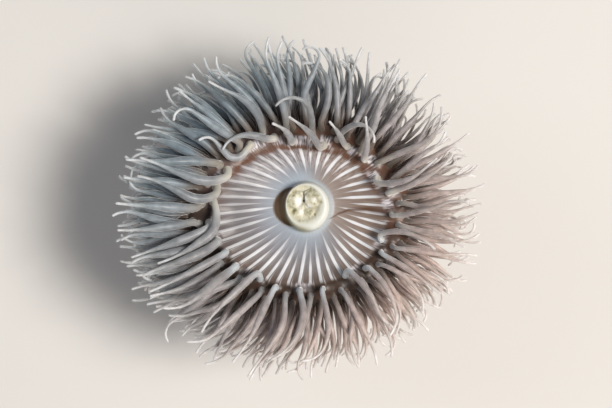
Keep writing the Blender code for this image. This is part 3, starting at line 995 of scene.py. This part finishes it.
@dataclass
class BodySkin:
    """The one skin of the mouth, disc, rim, collar, column and foot.

    lobes, cores and shades are ovals on the lips: x and y of the middle, half sizes, and a
    height or a strength. The cores draw the lips' white, partly painted highlight, and the
    shades dull green patches, partly painted shade. slits go from one x and y to another and
    have a width and a strength, and draw the painted shade of the slit. wrinkle is the depth
    of the lips' fine folds, wrinkles their number to the millimetre. hollow gives the circle
    that cuts the painted shadow beside the mouth cone into a crescent: how far aside, and
    its radius.
    The brown ring has a radius and half a width, lies wider at its corners, and fades into
    the rim from its end. patches are the pale striped ones on the rim: a bearing, a distance
    from the mouth's centre and half a width. groove is a line of distances and bearings.
    The bearings and the patches' widths are in degrees.
    """

    form: Form
    crown: Crown
    finish: LivingSkin
    segments: int = 432
    disc_run: float = 36.0
    off_disc: float = 40.0
    ridge: float = 0.10
    swell: float = 0.30
    swell_r: float = 21.5
    mound: float = 0.55
    upper_z: float = 50.0
    lips_r: float = 5.6
    lobes: tuple[Oval, ...] = (
        (-2.6, 0.8, 2.4, 2.3, 1.3), (2.6, 1.1, 2.5, 2.5, 1.3), (-1.8, -2.5, 1.5, 1.3, 0.55),
        (1.8, -2.5, 1.6, 1.25, 0.55),
    )
    cores: tuple[Oval, ...] = (
        (-1.5, 0.4, 1.2, 1.8, 1.0), (1.8, -0.8, 0.9, 0.6, 1.0), (0.7, 1.3, 0.35, 1.4, 0.6),
        (3.2, 1.0, 0.9, 0.6, 0.5), (-0.8, -2.4, 0.6, 0.9, 0.9),
    )
    shades: tuple[Oval, ...] = (
        (-2.7, -2.4, 0.8, 1.1, 0.9), (-2.3, -3.0, 0.4, 0.4, 0.95), (1.8, -2.4, 0.9, 0.9, 0.7),
        (2.0, -3.1, 0.35, 0.35, 0.95), (3.4, -3.0, 0.35, 0.35, 0.9), (3.6, 2.6, 1.3, 0.7, 0.6),
        (4.6, 2.3, 0.3, 0.35, 0.8), (1.8, 2.3, 0.6, 0.6, 0.4), (3.4, -0.3, 0.55, 0.45, 0.5),
        (-3.4, 0.1, 0.5, 0.9, 0.5), (-3.2, 2.4, 0.8, 0.5, 0.65), (-4.7, 1.0, 0.5, 1.5, 0.3),
        (-1.3, -4.9, 0.6, 0.4, 0.35),
    )
    slits: tuple[tuple[float, float, float, float, float, float], ...] = (
        (0.08, 3.2, 0.08, 0.7, 0.24, 0.8), (0.08, 0.6, 0.1, 0.7, 0.40, 1.0),
        (0.08, 3.3, 2.2, 4.1, 0.22, 0.55), (-2.3, 3.4, 0.0, 3.3, 0.28, 0.35),
    )
    # the circle that cuts the painted shadow beside the mouth cone: how far aside, and its radius
    painted_cone_shadow: tuple[float, float] = (4.3, 5.8)
    wrinkle: float = 0.20
    wrinkles: float = 0.80
    ring_r: float = 21.6
    ring_half: float = 1.25
    ring_end: float = 23.2
    ring_corners: tuple[float, float] = (45, 128)
    patches: tuple[tuple[float, float, float], ...] = (
        (118.0, 25.2, 6.0), (103.0, 24.6, 2.5), (89.0, 24.0, 6.0), (74.0, 25.0, 3.0),
        (55.0, 25.0, 2.5), (44.0, 26.0, 6.0), (19.0, 26.0, 5.0), (31.0, 23.2, 5.0),
        (8.0, 23.6, 4.0), (-22.0, 23.4, 4.0), (-52.0, 23.4, 4.0), (-88.0, 23.8, 5.0),
        (-125.0, 24.2, 4.0), (-160.0, 24.2, 5.0), (152.0, 24.4, 5.0),
    )
    groove: tuple[tuple[float, float], ...] = (
        (7.5, -27.0), (9.6, -11.0), (12.5, -1.4), (17.8, 2.8), (24.0, 2.4),
    )

    def key_points(self) -> list[tuple[float, float, float]]:
        """Lists the half section from the middle of the mouth to the middle of the foot.

        Returns:
            Radius, height and the spacing of rings wanted from there on.
        """
        f = self.form
        rim = []
        for degrees in range(132, -40, -12):
            r, _, z = f.rim_point(math.radians(degrees), 0.0)
            rim.append((r, z, 0.42))
        return [
            (0.0, f.pit_floor + 0.5, 0.17),
            (2.4, f.pit_floor + 0.6, 0.17),
            (4.2, f.pit_floor + 0.95, 0.17),
            (5.2, f.cone_top - 0.25, 0.17),
            (6.0, f.cone_top - 0.1, 0.17),
            (6.7, f.cone_top - 0.9, 0.17),
            (f.cone_r - 0.05, f.cone_top - 2.2, 0.20),
            (f.cone_r - 0.1, f.disc_dip + 1.1, 0.20),
            (f.cone_r + 0.5, f.disc_dip + 0.2, 0.22),
            (f.cone_r + 1.9, f.disc_dip - 0.1, 0.35),
            (13.0, f.disc_dip, 0.40),
            (18.5, f.disc_dip + 0.7, 0.38),
            *rim,
            (22.0, 50.2, 0.8),
            (17.6, 46.0, 0.8),
            (15.8, f.collar_top + 1.0, 0.5),
            (15.9, f.collar_top - 0.7, 0.4),
            (17.2, f.collar_top - 0.9, 0.4),
            (18.7, f.collar_top - 1.0, 0.4),
            (f.collar_r, f.collar_top - 2.4, 0.5),
            (18.6, 36.8, 0.5),
            (17.0, f.column_top + 0.1, 0.6),
            (16.2, 33.0, 1.2),
            (f.waist_r + 0.2, 27.5, 1.4),
            (f.waist_r, 20.0, 1.4),
            (f.waist_r + 1.2, 11.5, 1.2),
            (18.4, 6.4, 0.9),
            (20.4, f.foot_top + 0.2, 0.8),
            (22.9, 2.5, 0.7),
            (f.foot_r - 0.4, 1.3, 0.5),
            (f.foot_r, 0.55, 0.4),
            (f.foot_r - 0.5, 0.02, 0.6),
            (f.foot_r - 3.0, 0.0, 6.0),
            (12.0, 0.0, 6.0),
            (0.0, 0.0, 6.0),
        ]

    def section(self) -> tuple[Array, Array, Array]:
        """Draws a smooth curve through the key points and spaces the rings along it.

        Returns:
            The rings' radii and heights, their outward ways in section, and their runs.
        """
        keys = np.array(self.key_points())
        through = padded(keys)
        steps = np.linspace(0, 1, 24, endpoint=False)
        fine, spacing = [], []
        for k in range(1, len(through) - 2):
            fine.append(spline(*through[k - 1 : k + 3, :2], steps[:, None]))
            spacing.append(through[k, 2] * (1 - steps) + through[k + 1, 2] * steps)
        line = np.vstack((*fine, keys[-1:, :2]))
        want = np.concatenate((*spacing, keys[-1:, 2]))
        step = np.linalg.norm(np.diff(line, axis=0), axis=1)
        run = np.insert(np.cumsum(step), 0, 0)
        worth = np.insert(np.cumsum(step / ((want[1:] + want[:-1]) / 2)), 0, 0)
        at = np.interp(np.linspace(0, worth[-1], int(worth[-1])), worth, run)
        rings = np.column_stack([np.interp(at, run, line[:, axis]) for axis in (0, 1)])
        ways = unit(np.gradient(rings, at, axis=0))
        return np.maximum(rings, 0), np.column_stack((-ways[:, 1], ways[:, 0])), at

    def build(self) -> bpy.types.Object:
        """Lofts the skin, raises its relief, and gives it its maps and its finish.

        Returns:
            The skin's object.
        """
        rings, outward, run = self.section()
        around = np.arange(self.segments) / self.segments * TURN
        shape = (len(rings) - 2, self.segments)
        values = (rings[1:-1, :1], rings[1:-1, 1:], around, run[1:-1, None])
        r, z, turn, runs = (np.broadcast_to(value, shape) for value in values)
        p = Points(r, z, turn, runs, r * np.cos(turn), r * np.sin(turn), z > self.form.rim_z)
        raised, marks = self._relief(p)
        r = r + outward[1:-1, :1] * raised
        z = np.maximum(z + outward[1:-1, 1:] * raised, 0)
        points = self.form.lived(np.stack((r * np.cos(turn), r * np.sin(turn), z), axis=-1))
        centre = self.form.lived(np.array((0.0, 0.0, rings[0, 1] + raised[0].mean())))
        points = np.vstack((centre, points.reshape(-1, 3), np.zeros(3)))
        mesh = bpy.data.meshes.new("body_skin")
        mesh.from_pydata((points * MM).tolist(), [], self._faces(len(r)))
        self._mark(mesh, marks, run, p)
        self._map(mesh, run)
        mesh.materials.append(self.finish.material())
        mesh.shade_smooth()
        return placed("body_skin", mesh)

    def _faces(self, rows: int) -> list[tuple[int, ...]]:
        """Joins the rings with quads, and the two poles with triangles.

        Args:
            rows: How many rings there are between the poles.

        Returns:
            Each face's points, turning so that it faces outwards.
        """
        n = self.segments
        last = 1 + rows * n
        faces = [(0, 1 + k, 1 + (k + 1) % n) for k in range(n)]
        for a in range(1, last - n, n):
            b = a + n
            faces += [(a + k, b + k, b + (k + 1) % n, a + (k + 1) % n) for k in range(n)]
        end = last - n
        return faces + [(last, end + (k + 1) % n, end + k) for k in range(n)]

    def _relief(self, p: Points) -> tuple[Array, dict[str, Array]]:
        """Works out how far the skin stands out, and where its marks lie.

        Args:
            p: The skin's points.

        Returns:
            The relief, and the marks by name, each from 0 to 1.
        """
        r, turn, run = p.r, p.turn, p.run
        roots = RINGS[0].count
        ridges = np.zeros_like(r)
        for s in STRIPES:
            wave = turn / TURN * s.count - s.phase
            arc = np.abs(wave - np.round(wave)) / s.count * TURN * r
            grown = between(r, s.starts + 0.8, 4, s.ends, 2)
            ridges += bell(arc, s.width * 0.6) * grown * s.strength
        raised = self.ridge * ridges * p.top
        raised += self.swell * (0.5 + 0.5 * np.cos(roots * turn)) * bell(r - self.swell_r, 2.2) * p.top
        folds = 0.10 * np.cos(2 * roots * turn + 0.8 * np.sin(3 * turn)) + 0.06 * np.cos(roots * turn)
        raised += folds * between(run, 44, 4, 66, 6)
        raised += self._column_folds(p)
        lips, marks = self._mouth(p)
        raised += lips
        near = self._near_roots(p)
        raised += self.mound * near
        marks["root_pale"] = 0.6 * near * smooth((p.z - 54) / 4)
        marks["ring_brown"] = self._brown_ring(p)
        marks["groove"] = self._groove(p)
        marks["patch"] = 0.9 * self._patches(p) * p.top
        marks["painted_side_shade"], marks["warm"] = np.zeros_like(r), np.zeros_like(r)
        # painted shadow: a brown crescent beside the mouth cone, where the cone's shadow falls
        aside, half = self.painted_cone_shadow
        inwards = half - np.hypot(p.x + aside, p.y)
        marks["painted_cone_shadow"] = 0.95 * smooth(inwards / 0.5) * smooth((r - 6.6) / 0.3) * p.top
        # painted shade over skin that is dark brown there: the rim's lower side goes near black between
        # the tentacle roots, where the tentacles shade it
        low_side = towards(turn, -1.75, -0.25, 0.6) * smooth((r - 22.3) / 1.6)
        marks["painted_deep_shade"] = 0.85 * low_side * (1 - 0.8 * near) * (p.z > self.upper_z)
        # painted shadow: the crescent beside the mouth cone darkens further along its outer edge
        marks["painted_deep_shade"] += 0.75 * bell(inwards - 0.75, 0.75) * marks["painted_cone_shadow"]
        # the side tints, the first two of them painted shade on the disc's left and lower sides
        for s in SHADES:
            side = towards(turn, s.bearing, s.least, s.soft) * p.top
            marks[s.mark] += s.strength * side * between(r, s.starts, s.start_soft, s.ends, s.end_soft)
        return raised, marks

    def _column_folds(self, p: Points) -> Array:
        """Gives the column its shallow upright folds and soft level creases.

        Args:
            p: The skin's points.

        Returns:
            The relief.
        """
        turn = p.turn[0]
        rows = np.zeros_like(p.r)
        for row, (z, run) in enumerate(zip(p.z[:, 0], p.run[:, 0])):
            if run < 60 or z <= 0:
                continue
            upright, level = (
                np.array([noise.noise((size * math.cos(t), size * math.sin(t), up)) for t in turn])
                for size, up in ((3.2, z * 0.10), (1.3, z * 0.75 + 9))
            )
            uneven = 0.5 + 0.5 * np.sin(5 * turn + 0.04 * z)
            fluted = uneven * np.cos(48 * turn + 0.9 * np.sin(3 * turn + 0.06 * z))
            rows[row] = 0.34 * upright + 0.24 * level + 0.09 * fluted
        return rows * smooth(p.z / 1.5)

    @staticmethod
    def _ovals(ovals: tuple[Oval, ...], p: Points) -> list[tuple[Array, float]]:
        """Lists how far off each oval the points are, 1 on its edge, with its strength."""
        return [(np.hypot((p.x - x) / wide, (p.y - y) / high), power) for x, y, wide, high, power in ovals]

    def _mouth(self, p: Points) -> tuple[Array, dict[str, Array]]:
        """Shapes the four lobes of the lips and the slit between them.

        Args:
            p: The skin's points.

        Returns:
            The relief, and the marks of the lobes and of the folds: the lips' white with its painted
            highlights, dull green that is partly painted shade, and the slit's painted shade.
        """
        raised, folds, white, dark, creased = np.zeros((5, *p.r.shape))
        for off, high in self._ovals(self.lobes, p):
            raised = np.maximum(raised, high * np.sqrt(np.clip(1 - off**2, 0, 1)))
            # painted shade: a dull green line in the crease round each lobe
            folds = np.maximum(folds, 0.35 * high * bell(off - 1.0, 0.22))
        # The cores are the lips' white, partly painted highlight; the shades are dull green patches,
        # partly painted shade.
        for ovals, mark in ((self.cores, white), (self.shades, folds)):
            for off, strength in self._ovals(ovals, p):
                np.maximum(mark, strength * bell(off, 1.0), out=mark)
        # painted shade: the slit of the mouth and the folds beside it darken to near black
        for from_x, from_y, to_x, to_y, width, strength in self.slits:
            way_x, way_y = to_x - from_x, to_y - from_y
            along = ((p.x - from_x) * way_x + (p.y - from_y) * way_y) / (way_x**2 + way_y**2)
            along = np.clip(along, 0, 1)
            off = np.hypot(p.x - from_x - along * way_x, p.y - from_y - along * way_y)
            dark = np.maximum(dark, strength * bell(off, width))
        raised -= smooth((dark - 0.6) / 0.3)
        inside = smooth((self.lips_r - p.r) / 0.5)
        for row, column in np.argwhere(inside > 0):
            place = Vector((p.x[row, column], p.y[row, column], 0.0)) * self.wrinkles
            creased[row, column] = noise.noise(place) + 0.5 * noise.noise(2.3 * place)
        raised += self.wrinkle * creased
        # painted shade in the wrinkles' dips, painted highlight on their crests
        folds = np.clip(folds * (1 - 1.1 * creased), 0, 1)
        white = np.clip(white * (1 + 0.8 * creased), 0, 1)
        marks = {"slit": dark, "olive_and_painted_shade": folds * (1 - dark), "lip_white_and_highlight": white * (1 - dark)}
        marks = {name: mark * inside for name, mark in marks.items()}
        # painted highlight: a pale rim on the right side of the mouth cone, where the light falls
        marks["lip_white_and_highlight"] += 0.22 * bell(p.r - 6.2, 0.8) * towards(p.turn, 0.1, -0.35, 0.9)
        # painted shade: dull green on the lower left of the mouth cone, the side away from the light
        marks["olive_and_painted_shade"] += 0.7 * bell(p.r - 6.6, 0.6) * towards(p.turn, -2.45, 0.3, 0.5)
        return raised * inside, marks

    def _near_roots(self, p: Points) -> Array:
        """Finds how close each point of the skin is to the root of a tentacle.

        Args:
            p: The skin's points.

        Returns:
            1 at a root, falling to 0 between roots.
        """
        roots = sorted_by_place(np.array([tentacle.path[0] for tentacle in self.crown.tentacles]))
        near = np.zeros_like(p.r)
        lived = self.form.lived(np.stack((p.x, p.y, p.z), axis=-1))
        for row, column in np.argwhere((p.z > self.upper_z) & (p.r > 20)):
            _, which, gap = roots.find(lived[row, column])
            near[row, column] = math.exp(-((gap / (1.35 * self.crown.tentacles[which].root_r)) ** 2))
        return near

    def _brown_ring(self, p: Points) -> Array:
        """Draws the scalloped brown ring at the disc's edge, strongest at one side.

        Args:
            p: The skin's points.

        Returns:
            How brown each point is, from 0 to 1.
        """
        r, turn = p.r, p.turn
        scallop = 0.50 * np.cos(RINGS[0].count * turn) + 0.35 * np.sin(7 * turn + 1.0)
        wide = sum(bell(turn - math.radians(bearing), 0.35) for bearing in self.ring_corners)
        strong = 0.15 + 0.85 * smooth((np.sin(turn - 0.1) + 0.05) / 0.5)
        strong *= 1 - 0.6 * smooth((-np.cos(turn) - 0.72) / 0.18)
        line = 1.2 * bell(r - (self.ring_r + 1.2 * wide + scallop), self.ring_half) * strong
        faint = 0.85 - 0.35 * smooth((-np.cos(turn) + 0.1) / 0.6)
        outer = smooth(r - self.ring_end - 0.5 * scallop) * faint * (1 - self._patches(p))
        return np.clip(line + outer, 0, 1) * p.top

    def _patches(self, p: Points) -> Array:
        """Places the pale striped patches that lie on the rim outside the brown ring.

        Args:
            p: The skin's points.

        Returns:
            How pale each point is, from 0 to 1.
        """
        pale = np.zeros_like(p.r)
        for bearing, reach, half in self.patches:
            apart = p.turn - math.radians(bearing)
            apart = np.degrees(np.arctan2(np.sin(apart), np.cos(apart)))
            round_it = smooth(1.6 - np.abs(apart) / half)
            pale = np.maximum(pale, round_it * smooth(2.0 - np.abs(p.r - reach) / 0.9))
        return pale

    def _groove(self, p: Points) -> Array:
        """Draws the dark groove that runs from the mouth to the disc's edge.

        Args:
            p: The skin's points.

        Returns:
            How dark each point is, from 0 to 1.
        """
        reaches, bearings = np.array(self.groove).T
        bearing = np.radians(np.interp(p.r, reaches, bearings))
        apart = np.abs((p.turn - bearing + math.pi) % TURN - math.pi) * p.r
        wide = 0.32 + 0.80 * smooth((p.r - 9) / 13)
        return 0.9 * bell(apart, wide) * between(p.r, 7.2, 1.0, 24.5, 1.5) * p.top

    def _mark(self, mesh: Mesh, marks: dict[str, Array], run: Array, p: Points) -> None:
        """Stores the marks and distances on the mesh for the finish to read.

        Args:
            mesh: The skin's mesh.
            marks: The marks by name.
            run: Distance of each ring from the mouth, poles included.
            p: The skin's points.
        """
        reach = np.where(p.run < self.disc_run, p.r, self.off_disc)
        layers = {"run": (p.run, run[0], run[-1]), "reach": (reach, 0.0, self.off_disc)}
        layers |= {name: (values, values[0].mean(), 0.0) for name, values in marks.items()}
        for name, (values, first, last) in layers.items():
            store(mesh, name, np.concatenate(([first], np.ravel(values), [last])))

    def _map(self, mesh: Mesh, run: Array) -> None:
        """Gives the mesh its own map, and a round one for baking that lays the skin out flat.

        Args:
            mesh: The skin's mesh.
            run: Distance of each ring from the mouth, poles included.
        """
        n = self.segments
        corner, face = corners(mesh)
        last = len(mesh.vertices) - 1
        inner = (corner > 0) & (corner < last)
        row = np.where(inner, (corner - 1) // n + 1, np.where(corner == 0, 0, len(run) - 1))
        column = np.where(inner, (corner - 1) % n, 0).astype(float)
        column[inner & (column == 0) & (over_face(np.maximum, column, face) > n / 2)] = n
        lowest = over_face(np.minimum, np.where(inner, column, n), face)
        column[~inner] = lowest[~inner] + 0.5
        part = run[row] / run[-1]
        lay_out(mesh, "skin", column / n, part)
        angle = column / n * TURN
        spread = 0.49 * part * inner + 0.49 * (corner == last)
        lay_out(mesh, "OFBake", 0.5 + np.cos(angle) * spread, 0.5 + np.sin(angle) * spread)


@dataclass
class TentacleRing:
    """One ring of tentacles, swept along their centrelines by a tree of geometry nodes.

    root_flare is the share by which a root widens where it leaves the skin, over
    flare_reach, and sunk is how deep the root goes under it. crowded draws the stations
    towards both ends. dome gives the rings of the rounded tip, in tip radii: how far past
    the end each is, and how wide.
    """

    name: str
    tentacles: list[Tentacle]
    finish: bpy.types.Material
    sides: int
    stations: int
    cream: float
    wrinkle: float = 0.2
    root_flare: float = 0.35
    flare_reach: float = 1.1
    sunk: float = 1.4
    crowded: float = 0.035
    dome: tuple[tuple[float, float], ...] = ((0.55, 0.83), (0.85, 0.5), (1.0, 0.08))
    bumps: float = 520.0

    def build(self) -> bpy.types.Object:
        """Sweeps the ring's tentacles and turns them into one plain mesh.

        Returns:
            The ring's object.
        """
        wires = self._wires()
        obj = placed(self.name, wires)
        tree = self._tree()
        sweep = obj.modifiers.new("Sweep", "NODES")
        sweep.node_group = tree
        wanted = {"Sides": self.sides, "Wrinkle": self.wrinkle * MM, "Flesh": self.finish}
        for item in tree.interface.items_tree:
            if item.name in wanted and item.in_out == "INPUT":
                sweep[item.identifier] = wanted[item.name]
        graph = bpy.context.evaluated_depsgraph_get()
        mesh = bpy.data.meshes.new_from_object(obj.evaluated_get(graph))
        obj.modifiers.clear()
        obj.data = mesh
        mesh.name = self.name
        bpy.data.meshes.remove(wires)
        self._close(mesh)
        self._map(mesh)
        return obj

    def _wires(self) -> Mesh:
        """Draws each tentacle's centreline as a chain of edges with its sizes as attributes.

        Returns:
            The mesh of edges.
        """
        past, wide = np.array(self.dome).T
        spread = np.linspace(0, 1, self.stations)
        at = spread - self.crowded * np.sin(TURN * spread)
        points, edges = [], []
        layers = {"thick": [], "along": [], "kin": [], "strip": [], "cream": []}
        for number, tentacle in enumerate(self.tentacles):
            line = self._smoothed(tentacle.path, at)
            length = np.linalg.norm(np.diff(tentacle.path, axis=0), axis=1).sum()
            radius = tentacle.radius(at)
            radius = radius * (1 + self.root_flare * bell(at * length, self.flare_reach))
            tip = radius[-1]
            dome = line[-1] + unit(line[-1] - line[-2]) * (past * tip)[:, None]
            line = np.vstack((line[0] - tentacle.out * self.sunk, line, dome))
            first, count = len(points), len(line)
            own = (number * (1 - GOLDEN) + 0.2) % 1.0
            points += (line * MM).tolist()
            edges += [(k, k + 1) for k in range(first, first + count - 1)]
            radius = np.concatenate((radius[:1], radius, wide * tip))
            layers["thick"] += (radius * MM).tolist()
            layers["along"] += [0.0, *at, 1.0, 1.0, 1.0]
            layers["kin"] += [number * GOLDEN % 1.0] * count
            layers["strip"] += [float(number)] * count
            layers["cream"] += [self.cream * (0.65 + 0.35 * own)] * count
        mesh = bpy.data.meshes.new(f"{self.name}_wires")
        mesh.from_pydata(points, edges, [])
        for name, values in layers.items():
            store(mesh, name, values)
        return mesh

    @staticmethod
    def _smoothed(path: Array, at: Array) -> Array:
        """Reads a smooth curve through a path's points.

        Args:
            path: The path's points, evenly spaced.
            at: Fractions of its length.

        Returns:
            The points of the curve there.
        """
        through = padded(path)
        place = np.clip(at, 0, 1) * (len(path) - 1)
        k = np.minimum(place.astype(int), len(path) - 2)
        return spline(*(through[k + j] for j in range(4)), (place - k)[:, None])

    def _tree(self) -> Tree:
        """Builds the tree that turns centrelines into wrinkled tubes of living flesh.

        Returns:
            The tree, whose inputs are Sides, Wrinkle and Flesh.
        """
        tree = bpy.data.node_groups.new(f"{self.name}_sweep", "GeometryNodeTree")
        inputs = {"Geometry": "Geometry", "Sides": "Int", "Wrinkle": "Float", "Flesh": "Material"}
        for name, kind in inputs.items():
            tree.interface.new_socket(name, in_out="INPUT", socket_type=f"NodeSocket{kind}")
        tree.interface.new_socket("Geometry", in_out="OUTPUT", socket_type="NodeSocketGeometry")
        given = tree.nodes.new("NodeGroupInput").outputs
        lines = add(tree, "GeometryNodeMeshToCurve", {"Mesh": given["Geometry"]})
        links = {"Resolution": given["Sides"], "Radius": 1.0}
        circle = add(tree, "GeometryNodeCurvePrimitiveCircle", links)
        share = add(tree, "GeometryNodeSplineParameter").outputs["Factor"]
        links = {"Geometry": circle, "Name": "around", "Value": share}
        around = add(tree, "GeometryNodeStoreNamedAttribute", links)
        thick = add(tree, "GeometryNodeInputNamedAttribute", {"Name": "thick"})
        links = {"Curve": lines, "Profile Curve": around, "Scale": thick, "Fill Caps": True}
        tubes = add(tree, "GeometryNodeCurveToMesh", links)
        place = add(tree, "GeometryNodeInputPosition")
        bumps = add(tree, "TexNoise", {"Vector": place, "Scale": self.bumps, "Detail": 1.0})
        even = add(tree, "Math", (bumps, 0.5), operation="SUBTRACT")
        deep = add(tree, "Math", (even, given["Wrinkle"]), operation="MULTIPLY")
        links = {0: add(tree, "GeometryNodeInputNormal"), 3: deep}
        offset = add(tree, "VectorMath", links, operation="SCALE")
        wrinkled = add(tree, "GeometryNodeSetPosition", {"Geometry": tubes, "Offset": offset})
        rounded = add(tree, "GeometryNodeSetShadeSmooth", {"Geometry": wrinkled})
        real = add(tree, "GeometryNodeRealizeInstances", {"Geometry": rounded})
        dressed = add(tree, "GeometryNodeSetMaterial", {"Geometry": real, "Material": given["Flesh"]})
        add(tree, "NodeGroupOutput", {"Geometry": dressed})
        return tree

    @staticmethod
    def _close(mesh: Mesh) -> None:
        """Turns every face of the closed tubes outwards.

        Args:
            mesh: The ring's mesh.
        """
        shape = bmesh.new()
        shape.from_mesh(mesh)
        bmesh.ops.recalc_face_normals(shape, faces=shape.faces)
        shape.to_mesh(mesh)
        shape.free()

    def _map(self, mesh: Mesh) -> None:
        """Lays each tentacle out as a narrow strip of its own on the map for baking.

        Args:
            mesh: The ring's mesh.
        """
        corner, face = corners(mesh)
        read = {}
        for name in ("along", "around", "strip"):
            values = np.zeros(len(mesh.vertices), np.float32)
            mesh.attributes[name].data.foreach_get("value", values)
            read[name] = values[corner].astype(float)
        around = read["around"]
        around[(around < 0.01) & (over_face(np.maximum, around, face) > 0.5)] = 1.0
        rows = math.ceil(math.sqrt(len(self.tentacles) / 4))
        columns = math.ceil(len(self.tentacles) / rows)
        across = (read["strip"] % columns + 0.05 + 0.9 * around) / columns
        up = (read["strip"] // columns + 0.03 + 0.94 * read["along"]) / rows
        lay_out(mesh, "OFBake", across, up)


@dataclass(frozen=True)
class Lamp:
    """A soft round lamp: its place and size in metres, its power in watts and its colour."""

    name: str
    place: tuple[float, float, float]
    size: float
    power: float
    tint: str


@dataclass(frozen=True)
class Studio:
    """A plain pale floor, soft lights, and the camera that looks down into the crown."""

    frame_width: float = 179.3
    frame_centre: tuple[float, float] = (1.9, 3.0)
    distance: float = 520.0
    sensor: float = 36.0
    disc_height: float = 58.0
    floor_half: float = 1.5
    floor_tint: str = "DCDAD6"
    air_tint: str = "E6EAF0"
    air: float = 0.15
    lamps: tuple[Lamp, ...] = (
        Lamp("key", (0.78, -0.06, 1.46), 0.55, 28.5, "FFF9F2"),
        Lamp("cool_fill", (-0.90, 0.40, 0.80), 0.7, 2.0, "DCEBFF"),
        Lamp("low_fill", (0.15, -0.95, 0.60), 0.7, 2.6, "FFF0E8"),
    )

    def floor(self) -> None:
        """Lays a matt painted floor under the animal.

        The eye gets an even pale ground with no shine.
        """
        shape = bmesh.new()
        bmesh.ops.create_grid(shape, x_segments=8, y_segments=8, size=self.floor_half)
        mesh = bpy.data.meshes.new("studio_floor")
        shape.to_mesh(mesh)
        shape.free()
        paint = {"Base Color": linear(self.floor_tint), "Roughness": 0.9}
        mesh.materials.append(finished("matt_floor_paint", paint))
        placed("studio_floor", mesh)

    def camera(self) -> None:
        """Sets the camera above the animal, looking straight down."""
        eye = bpy.data.cameras.new("camera")
        eye.sensor_width = self.sensor
        eye.lens = self.sensor * self.distance / self.frame_width
        eye.clip_start = 10 * MM
        obj = placed("camera", eye)
        obj.location = Vector((*self.frame_centre, self.disc_height + self.distance)) * MM
        bpy.context.scene.camera = obj

    def lights(self) -> None:
        """Hangs a soft key light to the right, and two softer fills, in pale air."""
        aim = Vector((0.0, 0.0, self.disc_height * MM))
        for lamp in self.lamps:
            light = bpy.data.lights.new(lamp.name, "AREA")
            light.shape = "DISK"
            light.size = lamp.size
            light.energy = lamp.power
            light.color = linear(lamp.tint)[:3]
            obj = placed(lamp.name, light)
            obj.location = lamp.place
            obj.rotation_euler = (aim - obj.location).to_track_quat("-Z", "Y").to_euler()
        world = bpy.data.worlds.new("studio_air")
        world.use_nodes = True
        background = world.node_tree.nodes["Background"]
        background.inputs["Color"].default_value = linear(self.air_tint)
        background.inputs["Strength"].default_value = self.air
        bpy.context.scene.world = world
        bpy.context.scene.view_settings.view_transform = "Standard"


# Each ring's name, the sides and the stations of its tubes, and how creamy its roots are.
DETAIL = (
    ("inner", 16, 56, 1.0),
    ("second", 14, 50, 0.4),
    ("third", 12, 40, 0.12),
    ("fourth", 8, 28, 0.0),
    ("outer", 8, 22, 0.0),
    ("fringe", 6, 12, 0.0),
)


def main() -> None:
    """Builds the animal and the studio, and reports each piece."""
    logging.basicConfig(level=logging.INFO, format="%(name)s: %(message)s")
    form = Form()
    crown = Crown(form)
    crown.grow()
    log.info("%d tentacles grown", len(crown.tentacles))
    nodes = list(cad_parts)
    skin = BodySkin(form, crown, LivingSkin()).build()
    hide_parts(*(name for name in nodes if not name.startswith("tentacle_")))
    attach(skin, "root")
    log.info("%s: %d faces", skin.name, len(skin.data.polygons))
    flesh = TentacleFlesh().material()
    for number, (name, sides, stations, cream) in enumerate(DETAIL):
        members = [t for t in crown.tentacles if t.ring == number]
        ring = TentacleRing(f"tentacles_{name}", members, flesh, sides, stations, cream).build()
        if number == 0:
            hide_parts(*(name for name in nodes if name.startswith("tentacle_")))
        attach(ring, "root")
        log.info("%s: %d faces", ring.name, len(ring.data.polygons))
    studio = Studio()
    studio.floor()
    studio.lights()
    studio.camera()


if __name__ == "__main__":
    main()
